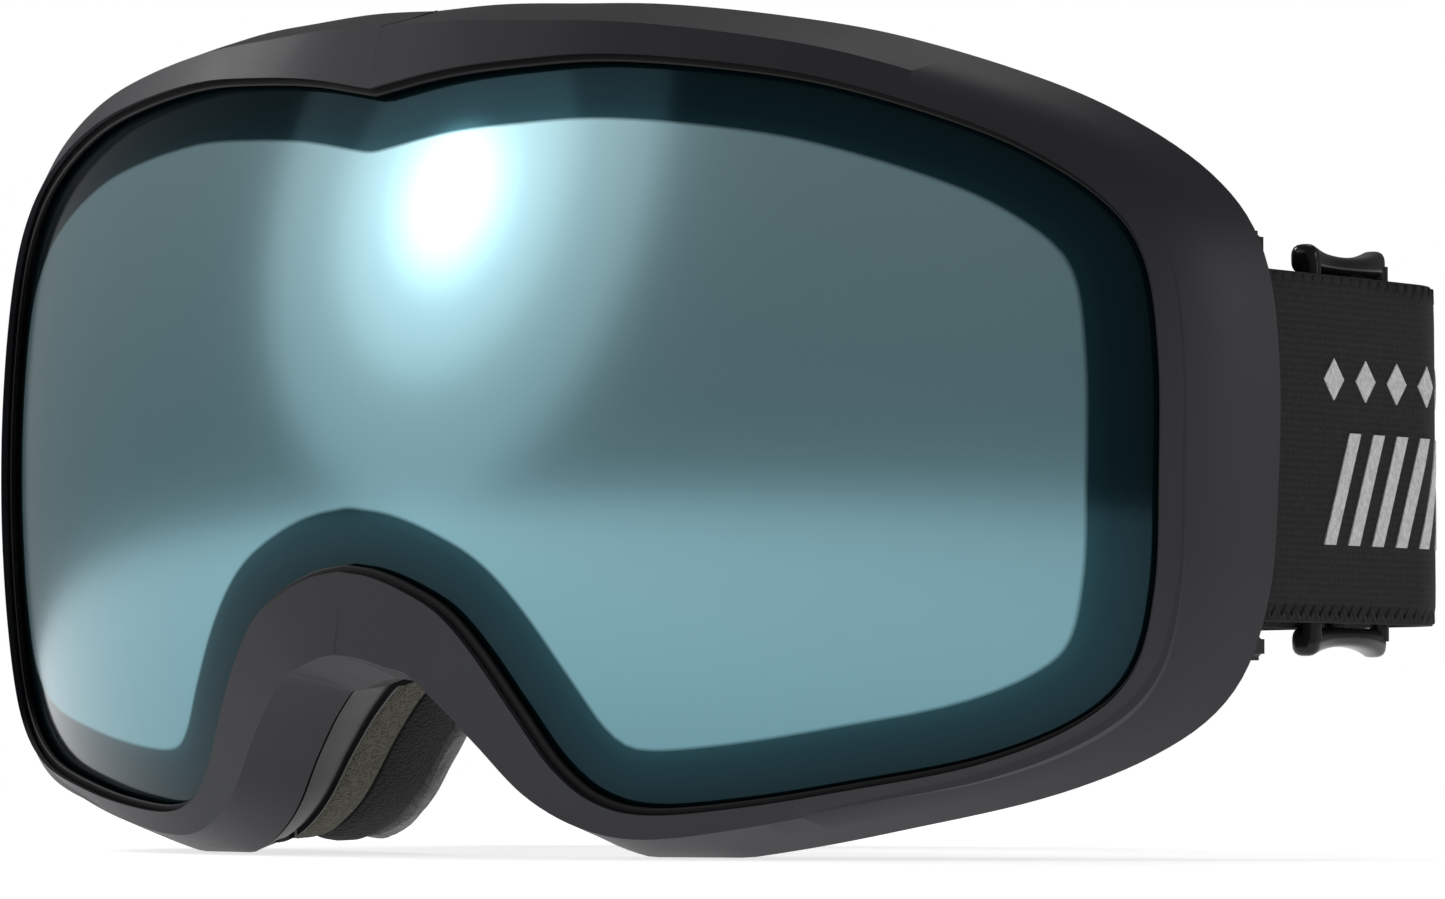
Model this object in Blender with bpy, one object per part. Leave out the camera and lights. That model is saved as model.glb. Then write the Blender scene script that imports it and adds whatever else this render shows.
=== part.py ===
"""Ski goggles: a framed toric double lens, a vented rear frame with three layers of face
foam, and an elastic strap with two sliders.

Every length is in metres. The goggles are drawn in lens axes: X to the wearer's left, Y from
the lens towards the face, Z up, with zero at the lens's foremost point. An empty then stands
the whole on its two lower lobes, with the origin at the bottom centre of its box.
"""
import bpy
import bmesh
from math import cos, hypot, radians, sin, sqrt
from mathutils import Matrix, Vector

MM = 0.001

# ---- driving dimensions ----------------------------------------------------------------
HALF_WIDTH = 84.8 * MM            # lens edge, half the width
HALF_HEIGHT = 42.0 * MM           # lens edge, height of the brow above the lens centre
LENS_RADIUS = 116.5 * MM          # bend of the lens from side to side
LENS_RADIUS_VERTICAL = 138.0 * MM
CLEARANCE = 0.4 * MM              # between pieces that are stacked or slipped together

OUTER_LENS_THICK = 1.2 * MM
INNER_LENS_THICK = 0.8 * MM
SPACER_THICK = 3.0 * MM
SPACER_WIDTH = 7.0 * MM           # seen through the outer lens as its dark border
LENS_SEAT = 1.1 * MM              # how far the lens runs on under the frame's lip
GASKET_LIP = 0.8 * MM             # how far the gasket shows inside the frame
GASKET_THICK = 0.7 * MM
LIP_THICK = 0.7 * MM              # frame's lip in front of the gasket
RIDGE = 1.3 * MM                  # crease at the middle of the brow and the nose
RIDGE_REACH = 16.0 * MM           # and how far to each side it fades out

BEVEL_OUT = 2.5 * MM              # front frame's outer bevel, outwards
BEVEL_BACK = 6.2 * MM             # and backwards
RIM_WALL = 1.6 * MM
SKIRT_WALL = 2.0 * MM
FLANGE_THICK = 2.2 * MM
FLANGE_WIDTH = 5.5 * MM
STRAP_RECESS = 11.0 * MM          # rear frame's sides stand in to make room for the strap
FACE_TAPER = 1.2 * MM             # rear frame narrows this much towards the face
SLIDER_ROOM = 1.8 * MM            # and this much more beside the strap
SIDE_INSET = 16.0 * MM            # face side stands in this much at the temples, like a face

FACE_NOSE_Y = 35.0 * MM           # face side of the fleece, at the nose
FACE_BROW_Y = 51.0 * MM           # and at the middle of the brow
SIDE_DEPTH = 35.0 * MM            # and at the temples, behind the rim
BASE_FOAM = 5.5 * MM
COMFORT_FOAM = 8.5 * MM
FLEECE = 3.0 * MM
FOAM_WIDTH = 12.0 * MM
VENT_FOAM = 2.0 * MM

STRAP_WIDTH = 38.0 * MM
STRAP_THICK = 1.8 * MM
STRAP_REACH = 69.4 * MM           # middle of the strap's rear, behind the bars
STRAP_STRAIGHT = 34.5 * MM        # where the strap's straight side ends, behind the bars
STRAP_CORNER = 16.0 * MM
STRAP_SLOPE = 6.4                 # degrees that the strap's sides lean inwards
CORNER_TURN = 63                  # degrees that each corner of the strap turns
REAR_STEPS = 8
BAR_RADIUS = 1.5 * MM
BAR_INSIDE = 2.8 * MM             # bar's centre, inside the lens edge
BAR_BEHIND = 4.1 * MM             # and behind the rim
LUG_THICK = 3.0 * MM
LUG_REACH = 2.2 * MM              # lug in front of and behind the bar's centre
LUG_ROOT = 3.0 * MM               # and in front of the wall that carries it
SLIDER_LENGTH = 18.0 * MM
SLIDER_PROUD = 3.6 * MM           # slider's ends beyond each edge of the strap
SLIDER_BAR = 2.2 * MM
SLIDER_BEHIND = 23.5 * MM         # slider's middle, behind the bar
SEWN_THICK = 1.2 * MM             # the strap's end, pressed flat and sewn
GRIP_HEIGHT = 5.0 * MM
GRIP_THICK = 0.8 * MM
GRIP_HALF_LENGTH = 46.0 * MM

FOOT_CUT = 0.5 * MM               # flat taken off the frame's two lowest lobes
STEPS = 2                         # stations in each span of the outline
BROW_VENTS = (3, 7, 11)           # stations to each side of the brow's middle
CHEEK_VENTS = (14, 18)            # stations to each side of the nose
BROW_STRIP = 13
CHEEK_STRIP = (12, 21)
LENS_ROWS = 6

# Right half of the lens edge, from the brow's middle round to the nose: x and z as shares of
# HALF_WIDTH and HALF_HEIGHT, then the facet's width and how far it stands forward, in mm.
OUTLINE = [
    (0.000, 0.944, 7.0, 1.4), (0.112, 0.982, 5.6, 1.4), (0.225, 1.000, 4.4, 1.4),
    (0.350, 1.005, 3.6, 1.4), (0.500, 0.974, 3.2, 1.4), (0.630, 0.925, 3.0, 1.4),
    (0.765, 0.834, 2.9, 1.4), (0.862, 0.738, 2.8, 1.4), (0.942, 0.605, 2.7, 1.4),
    (0.983, 0.450, 2.6, 1.4), (1.000, 0.200, 2.5, 1.4), (1.001, -0.100, 2.4, 1.4),
    (0.993, -0.375, 2.1, 1.4), (0.966, -0.588, 1.6, 1.4), (0.906, -0.722, 1.2, 1.4),
    (0.800, -0.823, 1.2, 1.4), (0.650, -0.889, 1.7, 1.5), (0.525, -0.931, 2.1, 1.6),
    (0.412, -0.949, 2.6, 1.8), (0.344, -0.916, 3.4, 2.0), (0.294, -0.828, 4.8, 2.3),
    (0.250, -0.687, 6.0, 2.5), (0.204, -0.543, 7.2, 2.7), (0.158, -0.437, 7.9, 2.7),
    (0.106, -0.376, 8.6, 2.7), (0.052, -0.336, 8.9, 2.7), (0.000, -0.320, 9.0, 2.7),
]


# ---- outline and lens surface ----------------------------------------------------------
def catmull(rows, u):
    """The smooth curve through the rows, at u counted in spans."""
    last = len(rows) - 1
    i = min(int(u), last - 1)
    t = u - i
    p1, p2 = rows[i], rows[i + 1]
    p0 = rows[i - 1] if i > 0 else [2 * a - b for a, b in zip(p1, p2)]
    p3 = rows[i + 2] if i + 2 <= last else [2 * b - a for a, b in zip(p1, p2)]
    return [0.5 * (2 * b + (c - a) * t + (2 * a - 5 * b + 4 * c - d) * t * t
                   + (3 * b - a - 3 * c + d) * t ** 3)
            for a, b, c, d in zip(p0, p1, p2, p3)]


def edge_at(u):
    """Lens edge at u: x, z, outward normal, facet width and facet rise, on the right half."""
    x, z, width, rise = catmull(OUTLINE, u)
    last = len(OUTLINE) - 1
    a = catmull(OUTLINE, max(u - 0.25, 0.0))
    b = catmull(OUTLINE, min(u + 0.25, last))
    tx, tz = (b[0] - a[0]) * HALF_WIDTH, (b[1] - a[1]) * HALF_HEIGHT
    size = hypot(tx, tz)
    nx, nz = -tz / size, tx / size
    if u <= 0.0 or u >= last:
        nx, nz = 0.0, 1.0 if u <= 0.0 else -1.0
    ridge = RIDGE * max(0.0, 1 - x * HALF_WIDTH / RIDGE_REACH)
    return x * HALF_WIDTH, z * HALF_HEIGHT, nx, nz, width * MM, rise * MM + ridge


def stations():
    """All the stations round the lens edge, clockwise from the brow's middle."""
    count = (len(OUTLINE) - 1) * STEPS
    half = [edge_at(i / STEPS) for i in range(count + 1)]
    other = [(-x, z, -nx, nz, w, r) for x, z, nx, nz, w, r in half[-2:0:-1]]
    return half + other


def lens_y(x, z):
    """The lens's front surface."""
    reach = min(abs(x), 0.98 * LENS_RADIUS)
    return LENS_RADIUS - sqrt(LENS_RADIUS ** 2 - reach ** 2) + z * z / (2 * LENS_RADIUS_VERTICAL)


def layer(x, z, depth):
    """A point at x, z that lies a depth behind the lens's front surface, square to it."""
    reach = min(abs(x), 0.98 * LENS_RADIUS)
    fx = reach / sqrt(LENS_RADIUS ** 2 - reach ** 2)
    fz = z / LENS_RADIUS_VERTICAL
    return Vector((x, lens_y(x, z) + depth * sqrt(1 + fx * fx + fz * fz), z))


def rim(station, out, depth=None, back=None):
    """A point out from the lens edge: at a depth in the lens stack, or back from its surface."""
    x, z, nx, nz = station[:4]
    px, pz = x + nx * out, z + nz * out
    if depth is not None:
        return layer(px, pz, depth)
    return Vector((px, lens_y(px, pz) + back, pz))


def smooth(t):
    t = min(max(t, 0.0), 1.0)
    return t * t * (3 - 2 * t)


def inward(point, amount):
    """The point moved towards the goggles' level centre line."""
    spine = Vector((max(-0.6 * HALF_WIDTH, min(0.6 * HALF_WIDTH, point.x)), point.y, 0.003))
    step = spine - point
    return point + step * (amount / step.length)


# ---- places behind the rim at the goggles' widest ---------------------------------------
WIDEST = max(range(len(OUTLINE)), key=lambda i: OUTLINE[i][0])
SIDE_EDGE = edge_at(WIDEST)
RIM_Y = rim(SIDE_EDGE, SIDE_EDGE[4] + BEVEL_OUT, back=BEVEL_BACK).y
FACE_SIDE_Y = RIM_Y + SIDE_DEPTH
BAR_X = HALF_WIDTH - BAR_INSIDE
BAR_Y = RIM_Y + BAR_BEHIND
SLIDER_Y = BAR_Y + SLIDER_BEHIND
STRAP_SIDE_END = BAR_Y + STRAP_STRAIGHT
STRAP_DEPTH = BAR_Y + STRAP_REACH

# ---- depths in the lens stack -----------------------------------------------------------
OUTER_BACK = OUTER_LENS_THICK
SPACER_FRONT = OUTER_BACK + CLEARANCE
INNER_FRONT = SPACER_FRONT + SPACER_THICK + CLEARANCE
INNER_BACK = INNER_FRONT + INNER_LENS_THICK
FLANGE_FRONT = INNER_BACK + CLEARANCE
GASKET_BACK = -CLEARANCE
GASKET_FRONT = GASKET_BACK - GASKET_THICK
LIP_BACK = GASKET_FRONT - CLEARANCE
LIP_FRONT = LIP_BACK - LIP_THICK


# ---- mesh helpers -----------------------------------------------------------------------
def material(name, colour, roughness, metallic=0.0):
    mat = bpy.data.materials.new(name)
    mat.use_nodes = True
    shader = mat.node_tree.nodes["Principled BSDF"]
    shader.inputs["Base Color"].default_value = (*colour, 1.0)
    shader.inputs["Roughness"].default_value = roughness
    shader.inputs["Metallic"].default_value = metallic
    return mat


def finish(name, bm, mat, collection="goggles"):
    """Closes off a bmesh as a named object with its faces pointing out."""
    bmesh.ops.recalc_face_normals(bm, faces=bm.faces)
    mesh = bpy.data.meshes.new(name)
    bm.to_mesh(mesh)
    bm.free()
    obj = bpy.data.objects.new(name, mesh)
    bpy.data.collections[collection].objects.link(obj)
    mesh.shade_smooth()
    mesh.set_sharp_from_angle(angle=radians(30))
    if mat:
        mesh.materials.append(mat)
        obj.parent = bpy.data.objects["goggles_datum"]
    return obj


def loft(name, loops, mat, closed, collection="goggles"):
    """A tube through equal cross-sections: a closed ring, or an open run with flat ends.

    Each quad is split from its corner that is farther from the goggles' middle, so that the
    faces of two stacked layers stay parallel.
    """
    bm = bmesh.new()
    rings = [[bm.verts.new(p) for p in loop] for loop in loops]
    count = len(rings[0])
    pairs = list(zip(rings, rings[1:])) + ([(rings[-1], rings[0])] if closed else [])
    for one, two in pairs:
        for i in range(count):
            j = (i + 1) % count
            far, near = one[i].co, one[j].co
            if hypot(far.x, far.z) >= hypot(near.x, near.z):
                bm.faces.new((one[i], one[j], two[j]))
                bm.faces.new((one[i], two[j], two[i]))
            else:
                bm.faces.new((one[j], two[j], two[i]))
                bm.faces.new((one[j], two[i], one[i]))
    if not closed:
        bm.faces.new(rings[0])
        bm.faces.new(rings[-1])
    return finish(name, bm, mat, collection)


def pane(name, out, front, back, mat):
    """A lens: the toric surface inside the edge, between two depths."""
    last = len(OUTLINE) - 1
    columns = WIDEST * STEPS
    half = []
    for i in range(columns + 1):
        top = edge_at(i / STEPS)
        low = edge_at(last - i * (last - WIDEST) / columns)
        half.append([(s[0] + s[2] * out, s[1] + s[3] * out) for s in (top, low)])
    half[-1][1] = half[-1][0]
    cols = [[(-x, z) for x, z in pair] for pair in half[:0:-1]] + half
    bm = bmesh.new()
    sides = []
    for depth in (front, back):
        grid = []
        for (tx, tz), (lx, lz) in cols:
            if (tx, tz) == (lx, lz):
                grid.append([bm.verts.new(layer(tx, tz, depth))] * (LENS_ROWS + 1))
                continue
            grid.append([bm.verts.new(layer(tx + (lx - tx) * k / LENS_ROWS,
                                            tz + (lz - tz) * k / LENS_ROWS, depth))
                         for k in range(LENS_ROWS + 1)])
        for a, b in zip(grid, grid[1:]):
            for k in range(LENS_ROWS):
                corners = dict.fromkeys((a[k], b[k], b[k + 1], a[k + 1]))
                bm.faces.new(tuple(corners))
        sides.append(grid)
    for row in (0, LENS_ROWS):
        line_a = [g[row] for g in sides[0]]
        line_b = [g[row] for g in sides[1]]
        for i in range(len(line_a) - 1):
            bm.faces.new((line_a[i], line_a[i + 1], line_b[i + 1], line_b[i]))
    return finish(name, bm, mat)


def boxes(name, sizes_and_places, turn=0.0, rods=()):
    """Boxes and upright rods that don't touch each other, as one cutter. Boxes are turned."""
    bm = bmesh.new()
    for size, place in sizes_and_places:
        verts = bmesh.ops.create_cube(bm, size=1.0)["verts"]
        bmesh.ops.scale(bm, vec=size, verts=verts)
        bmesh.ops.rotate(bm, cent=(0, 0, 0), matrix=Matrix.Rotation(turn, 3, "Z"), verts=verts)
        bmesh.ops.translate(bm, vec=place, verts=verts)
    for radius, length, place in rods:
        verts = bmesh.ops.create_cone(bm, cap_ends=True, segments=12, radius1=radius,
                                      radius2=radius, depth=length)["verts"]
        bmesh.ops.translate(bm, vec=place, verts=verts)
    obj = finish(name, bm, None, "cutters")
    obj.hide_render = True
    obj.display_type = "WIRE"
    obj.parent = bpy.data.objects["goggles_datum"]
    return obj


def boolean(target, tool, operation):
    mod = target.modifiers.new(tool.name, "BOOLEAN")
    mod.operation = operation
    mod.object = tool


# ---- front frame and lens stack ---------------------------------------------------------
def front_frame(ring, mat):
    """The one-piece front: facets round the lens, the outer bevel and the wall behind."""
    loops = []
    for s in ring:
        width, rise = s[4], s[5]
        loops.append([
            rim(s, 0.0, depth=LIP_FRONT),
            rim(s, width, back=-rise),
            rim(s, width + BEVEL_OUT, back=BEVEL_BACK),
            rim(s, width + BEVEL_OUT - RIM_WALL, back=BEVEL_BACK + CLEARANCE / 2),
            rim(s, LENS_SEAT + CLEARANCE, depth=INNER_BACK),
            rim(s, LENS_SEAT + CLEARANCE, depth=LIP_BACK),
            rim(s, 0.0, depth=LIP_BACK)])
    return loft("front_frame", loops, mat, closed=True)


def foot_level(ring):
    """Height of the plane that the goggles stand on, in lens axes."""
    return min(rim(s, s[4] + BEVEL_OUT, back=BEVEL_BACK).z for s in ring) + FOOT_CUT


def lens_ring(name, ring, inner, outer, front, back, mat):
    """A flat band that follows the lens edge between two depths of the stack."""
    loops = [[rim(s, inner, depth=front), rim(s, outer, depth=front),
              rim(s, outer, depth=back), rim(s, inner, depth=back)] for s in ring]
    return loft(name, loops, mat, closed=True)


# ---- rear frame and foam ----------------------------------------------------------------
def beside_strap(x, z):
    """One beside the strap, fading to nothing above, below and in front of it."""
    level = 1 - smooth((abs(z) - 0.62 * STRAP_WIDTH) / (0.28 * STRAP_WIDTH))
    return level * smooth((abs(x) - 0.6 * HALF_WIDTH) / (0.2 * HALF_WIDTH))


def recess(x, z):
    """How far the rear frame stands in behind the rim, most of all beside the strap."""
    corner = 0.25 * smooth((abs(x) - 0.6 * HALF_WIDTH) / (0.2 * HALF_WIDTH))
    return STRAP_RECESS * max(beside_strap(x, z), corner)


def face_y(x, z):
    """The face side of the fleece."""
    up = smooth((z + 0.75 * HALF_HEIGHT) / (1.9 * HALF_HEIGHT))
    middle = FACE_NOSE_Y + (FACE_BROW_Y - FACE_NOSE_Y) * up
    return middle + (FACE_SIDE_Y - middle) * (x / HALF_WIDTH) ** 2


def behind_rim(s):
    """A point just behind the front frame's outer edge."""
    edge = rim(s, s[4] + BEVEL_OUT - CLEARANCE / 2, back=BEVEL_BACK + CLEARANCE)
    edge.y += CLEARANCE / 2
    return edge


def skirt_front(s):
    """Front edge of the rear frame's outer wall."""
    return inward(behind_rim(s), recess(s[0], s[1]))


def face_inset(x, z):
    """How far the face side stands in from the rim: little at the brow, most at the temples."""
    beside = recess(x, z) + FACE_TAPER + SLIDER_ROOM * beside_strap(x, z)
    start = (0.12 + 0.18 * smooth(0.5 - z / HALF_HEIGHT)) * HALF_WIDTH
    temple = SIDE_INSET * smooth((abs(x) - start) / (0.89 * HALF_WIDTH - start))
    return max(beside, FACE_TAPER + temple)


def face_edge(s, before_face):
    """Outer edge of the foam stack, at a distance in front of the face side."""
    point = inward(behind_rim(s), face_inset(s[0], s[1]))
    point.y = face_y(point.x, point.z) - before_face
    return point


FOAM_STACK = BASE_FOAM + COMFORT_FOAM + FLEECE + 4 * CLEARANCE


def skirt_wall(s, along, inset):
    """A point on the rear frame's wall: along it from front to face, and in from outside."""
    point = skirt_front(s).lerp(face_edge(s, FOAM_STACK), along)
    return inward(point, inset) if inset else point


def rear_frame(ring, mat):
    """The vented housing: a flange behind the inner lens and a wall back to the foam."""
    loops = []
    for s in ring:
        front = skirt_front(s)
        in_from_edge = s[4] + BEVEL_OUT - recess(s[0], s[1]) - SKIRT_WALL - 2.0 * MM
        inner = min(-FLANGE_WIDTH, in_from_edge)
        loops.append([
            front,
            skirt_wall(s, 1.0, 0.0),
            skirt_wall(s, 1.0, SKIRT_WALL),
            skirt_wall(s, 0.14, SKIRT_WALL),
            rim(s, inner, depth=FLANGE_FRONT + FLANGE_THICK),
            rim(s, inner, depth=FLANGE_FRONT),
            rim(s, LENS_SEAT, depth=FLANGE_FRONT)])
    return loft("rear_frame", loops, mat, closed=True)


def foam_layer(name, ring, front, back, width, mat):
    """One layer of the face foam, from a front to a back distance before the face."""
    loops = []
    for s in ring:
        a, b = face_edge(s, front), face_edge(s, back)
        loops.append([a, b, inward(b, width), inward(a, width)])
    return loft(name, loops, mat, closed=True)


def vent_strip(name, ring, mat):
    """A strip of open-cell foam that lines the vents on the wall's inner side."""
    near = SKIRT_WALL + 2 * CLEARANCE
    loops = [[skirt_wall(s, 0.30, near), skirt_wall(s, 0.82, near),
              skirt_wall(s, 0.82, near + VENT_FOAM), skirt_wall(s, 0.30, near + VENT_FOAM)]
             for s in ring]
    return loft(name, loops, mat, closed=False)


# ---- strap ------------------------------------------------------------------------------
LEAN = radians(STRAP_SLOPE)
ALONG = Vector((-sin(LEAN), cos(LEAN), 0.0))       # along the left side's straight, rearwards
OUTWARD = Vector((cos(LEAN), sin(LEAN), 0.0))
LOOP_RADIUS = BAR_RADIUS + CLEARANCE + STRAP_THICK / 2
SIDE_START = Vector((BAR_X, BAR_Y, 0.0)) + OUTWARD * LOOP_RADIUS
SIDE_LENGTH = (STRAP_SIDE_END - SIDE_START.y) / ALONG.y


def side_point(distance, out=0.0):
    """A point on the strap's straight left side, from the bar rearwards."""
    return SIDE_START + ALONG * distance + OUTWARD * out


def strap_half():
    """Centre line of the left half: round the bar, along the side, the corner, the rear."""
    bar = Vector((BAR_X, BAR_Y, 0.0))
    wrap = [bar + Matrix.Rotation(radians(a), 3, "Z") @ (OUTWARD * LOOP_RADIUS)
            for a in range(-168, 0, 24)]
    side = [side_point(SIDE_LENGTH * i / 3) for i in range(3)]
    centre = side_point(SIDE_LENGTH, -STRAP_CORNER)
    corner = [centre + Matrix.Rotation(radians(a), 3, "Z") @ (OUTWARD * STRAP_CORNER)
              for a in range(0, CORNER_TURN + 1, 7)]
    end = corner[-1]
    heading = Matrix.Rotation(radians(CORNER_TURN), 3, "Z") @ ALONG
    middle = Vector((0.0, STRAP_DEPTH, 0.0))
    reach = 0.4 * end.x
    guides = (end + heading * reach, middle + Vector((reach, 0.0, 0.0)))
    rear = []
    for i in range(1, REAR_STEPS + 1):
        t = i / REAR_STEPS
        rear.append(end * (1 - t) ** 3 + guides[0] * 3 * t * (1 - t) ** 2
                    + guides[1] * 3 * t * t * (1 - t) + middle * t ** 3)
    return wrap + side + corner + rear


def ribbon(name, path, low, high, thick, mat, offset=0.0):
    """A band on edge that follows a level path."""
    loops = []
    for i, p in enumerate(path):
        ahead = path[min(i + 1, len(path) - 1)] - path[max(i - 1, 0)]
        side = Vector((ahead.y, -ahead.x, 0.0)).normalized()
        a, b = p + side * (offset + thick / 2), p + side * (offset - thick / 2)
        loops.append([Vector((a.x, a.y, low)), Vector((a.x, a.y, high)),
                      Vector((b.x, b.y, high)), Vector((b.x, b.y, low))])
    return loft(name, loops, mat, closed=False)


def mirrored(path, side):
    return [Vector((p.x * side, p.y, p.z)) for p in path]


SLIDER_CENTRE = (SLIDER_Y - SIDE_START.y) / ALONG.y
FRONT_BAR_OUT = -(STRAP_THICK / 2 + CLEARANCE + SLIDER_BAR / 2)
MID_BAR_OUT = -(STRAP_THICK / 2 + 2 * CLEARANCE + SEWN_THICK + SLIDER_BAR / 2)
SEWN_RADIUS = SLIDER_BAR / 2 + CLEARANCE + SEWN_THICK / 2


def strap_return(side, mat):
    """The inner layer, from behind the bar to the end that is sewn round the slider."""
    bar = Vector((BAR_X, BAR_Y, 0.0))
    start = bar + Matrix.Rotation(radians(192), 3, "Z") @ (OUTWARD * LOOP_RADIUS)
    start += ALONG * (2 * CLEARANCE + 1.0 * MM)
    behind_bar = FRONT_BAR_OUT - SLIDER_BAR / 2 - CLEARANCE - STRAP_THICK / 2
    end = side_point(SLIDER_CENTRE - SEWN_RADIUS - SEWN_THICK / 2 - CLEARANCE, behind_bar)
    path = [start.lerp(end, i / 4) for i in range(5)]
    half = STRAP_WIDTH / 2
    return ribbon("strap_return_" + side_name(side), mirrored(path, side), -half, half,
                  STRAP_THICK, mat)


def side_name(side):
    return "left" if side > 0 else "right"


def sewn_end(side, mat):
    """The strap's end, looped round the slider's middle bar and sewn to itself."""
    centre = side_point(SLIDER_CENTRE, MID_BAR_OUT)
    turn = [centre + Matrix.Rotation(radians(a), 3, "Z") @ (OUTWARD * SEWN_RADIUS)
            for a in range(-60, 241, 25)]
    half = STRAP_WIDTH / 2
    return ribbon("sewn_end_" + side_name(side), mirrored(turn, side), -half, half,
                  SEWN_THICK, mat)


def slider(side, mat):
    """A three-bar slider: two outer bars behind the strap, a middle bar for its sewn end."""
    name = "slider_" + side_name(side)
    reach = STRAP_WIDTH / 2 + CLEARANCE
    tall = 2 * (STRAP_WIDTH / 2 + SLIDER_PROUD)
    turn = LEAN * side
    bar_length = tall - 1.0 * MM
    bars = []
    for along in (SLIDER_LENGTH / 2 - SLIDER_BAR / 2, SLIDER_BAR / 2 - SLIDER_LENGTH / 2):
        place = side_point(SLIDER_CENTRE + along, FRONT_BAR_OUT)
        bars.append(((SLIDER_BAR, SLIDER_BAR, bar_length), Vector((place.x * side, place.y, 0.0))))
    middle = side_point(SLIDER_CENTRE, MID_BAR_OUT)
    rod = (SLIDER_BAR / 2, bar_length, Vector((middle.x * side, middle.y, 0.0)))
    place = side_point(SLIDER_CENTRE, (FRONT_BAR_OUT + MID_BAR_OUT) / 2)
    thick = SLIDER_BAR + FRONT_BAR_OUT - MID_BAR_OUT + 0.4 * MM
    high = SLIDER_PROUD - CLEARANCE
    ends = [((thick, SLIDER_LENGTH + 0.4 * MM, high),
             Vector((place.x * side, place.y, end * (reach + high / 2)))) for end in (-1, 1)]
    body = boxes(name, bars, turn, [rod])
    body.hide_render = False
    body.display_type = "TEXTURED"
    body.data.materials.append(mat)
    bpy.data.collections["cutters"].objects.unlink(body)
    bpy.data.collections["goggles"].objects.link(body)
    boolean(body, boxes(name + "_ends", ends, turn), "UNION")
    return body


def strap_bar(side, mat):
    """The bar that the strap loops round, held between two lugs of the rear frame."""
    bm = bmesh.new()
    length = STRAP_WIDTH + 4 * CLEARANCE
    bmesh.ops.create_cone(bm, cap_ends=True, segments=16, radius1=BAR_RADIUS,
                          radius2=BAR_RADIUS, depth=length)
    bmesh.ops.translate(bm, vec=(BAR_X * side, BAR_Y, 0.0), verts=bm.verts)
    return finish("strap_bar_" + side_name(side), bm, mat)


def lugs(frame, ring):
    """Two ears on each side of the rear frame, above and below the strap, with wider roots."""
    place_z = STRAP_WIDTH / 2 + 3 * CLEARANCE + LUG_THICK / 2
    wall = min((s for s in ring if s[0] > HALF_WIDTH / 2), key=lambda s: abs(s[1] - place_z))
    inner = skirt_wall(wall, 0.3, 1.5 * SKIRT_WALL).x
    outer = BAR_X + BAR_RADIUS + 0.5 * MM
    root = (skirt_front(wall).y - LUG_ROOT, BAR_Y + LUG_REACH / 2)
    tip = (BAR_Y - LUG_REACH, BAR_Y + LUG_REACH)
    ears = boxes("lugs", [((1, 1, LUG_THICK), (2 * side, 0, end * place_z))
                          for side in (-1, 1) for end in (-1, 1)])
    for v in ears.data.vertices:
        side = 1 if v.co.x > 0 else -1
        at_tip = abs(v.co.x) > 2
        v.co.y = (tip if at_tip else root)[v.co.y > 0]
        v.co.x = side * (outer if at_tip else inner)
    boolean(frame, ears, "UNION")


def vents(frame, ring):
    """Slots through the wall: a row along the brow and two short rows under the cheeks."""
    half = len(ring) // 2
    cuts = []
    for side in (-1, 1):
        for spot in BROW_VENTS:
            cuts.append(((7.0 * MM, 4.0 * MM, 12.0 * MM), vent_place(ring[side * spot])))
        for spot in CHEEK_VENTS:
            cuts.append(((5.0 * MM, 4.0 * MM, 12.0 * MM), vent_place(ring[half + side * spot])))
    boolean(frame, boxes("vents", cuts), "DIFFERENCE")


def vent_place(s):
    return skirt_wall(s, 0.56, SKIRT_WALL / 2)


# ---- assembly ---------------------------------------------------------------------------
def reset():
    for obj in list(bpy.data.objects):
        bpy.data.objects.remove(obj, do_unlink=True)
    for name in ("goggles", "cutters"):
        old = bpy.data.collections.get(name)
        if old:
            bpy.data.collections.remove(old)
        group = bpy.data.collections.new(name)
        bpy.context.scene.collection.children.link(group)
    datum = bpy.data.objects.new("goggles_datum", None)
    bpy.data.collections["goggles"].objects.link(datum)
    return datum


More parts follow.
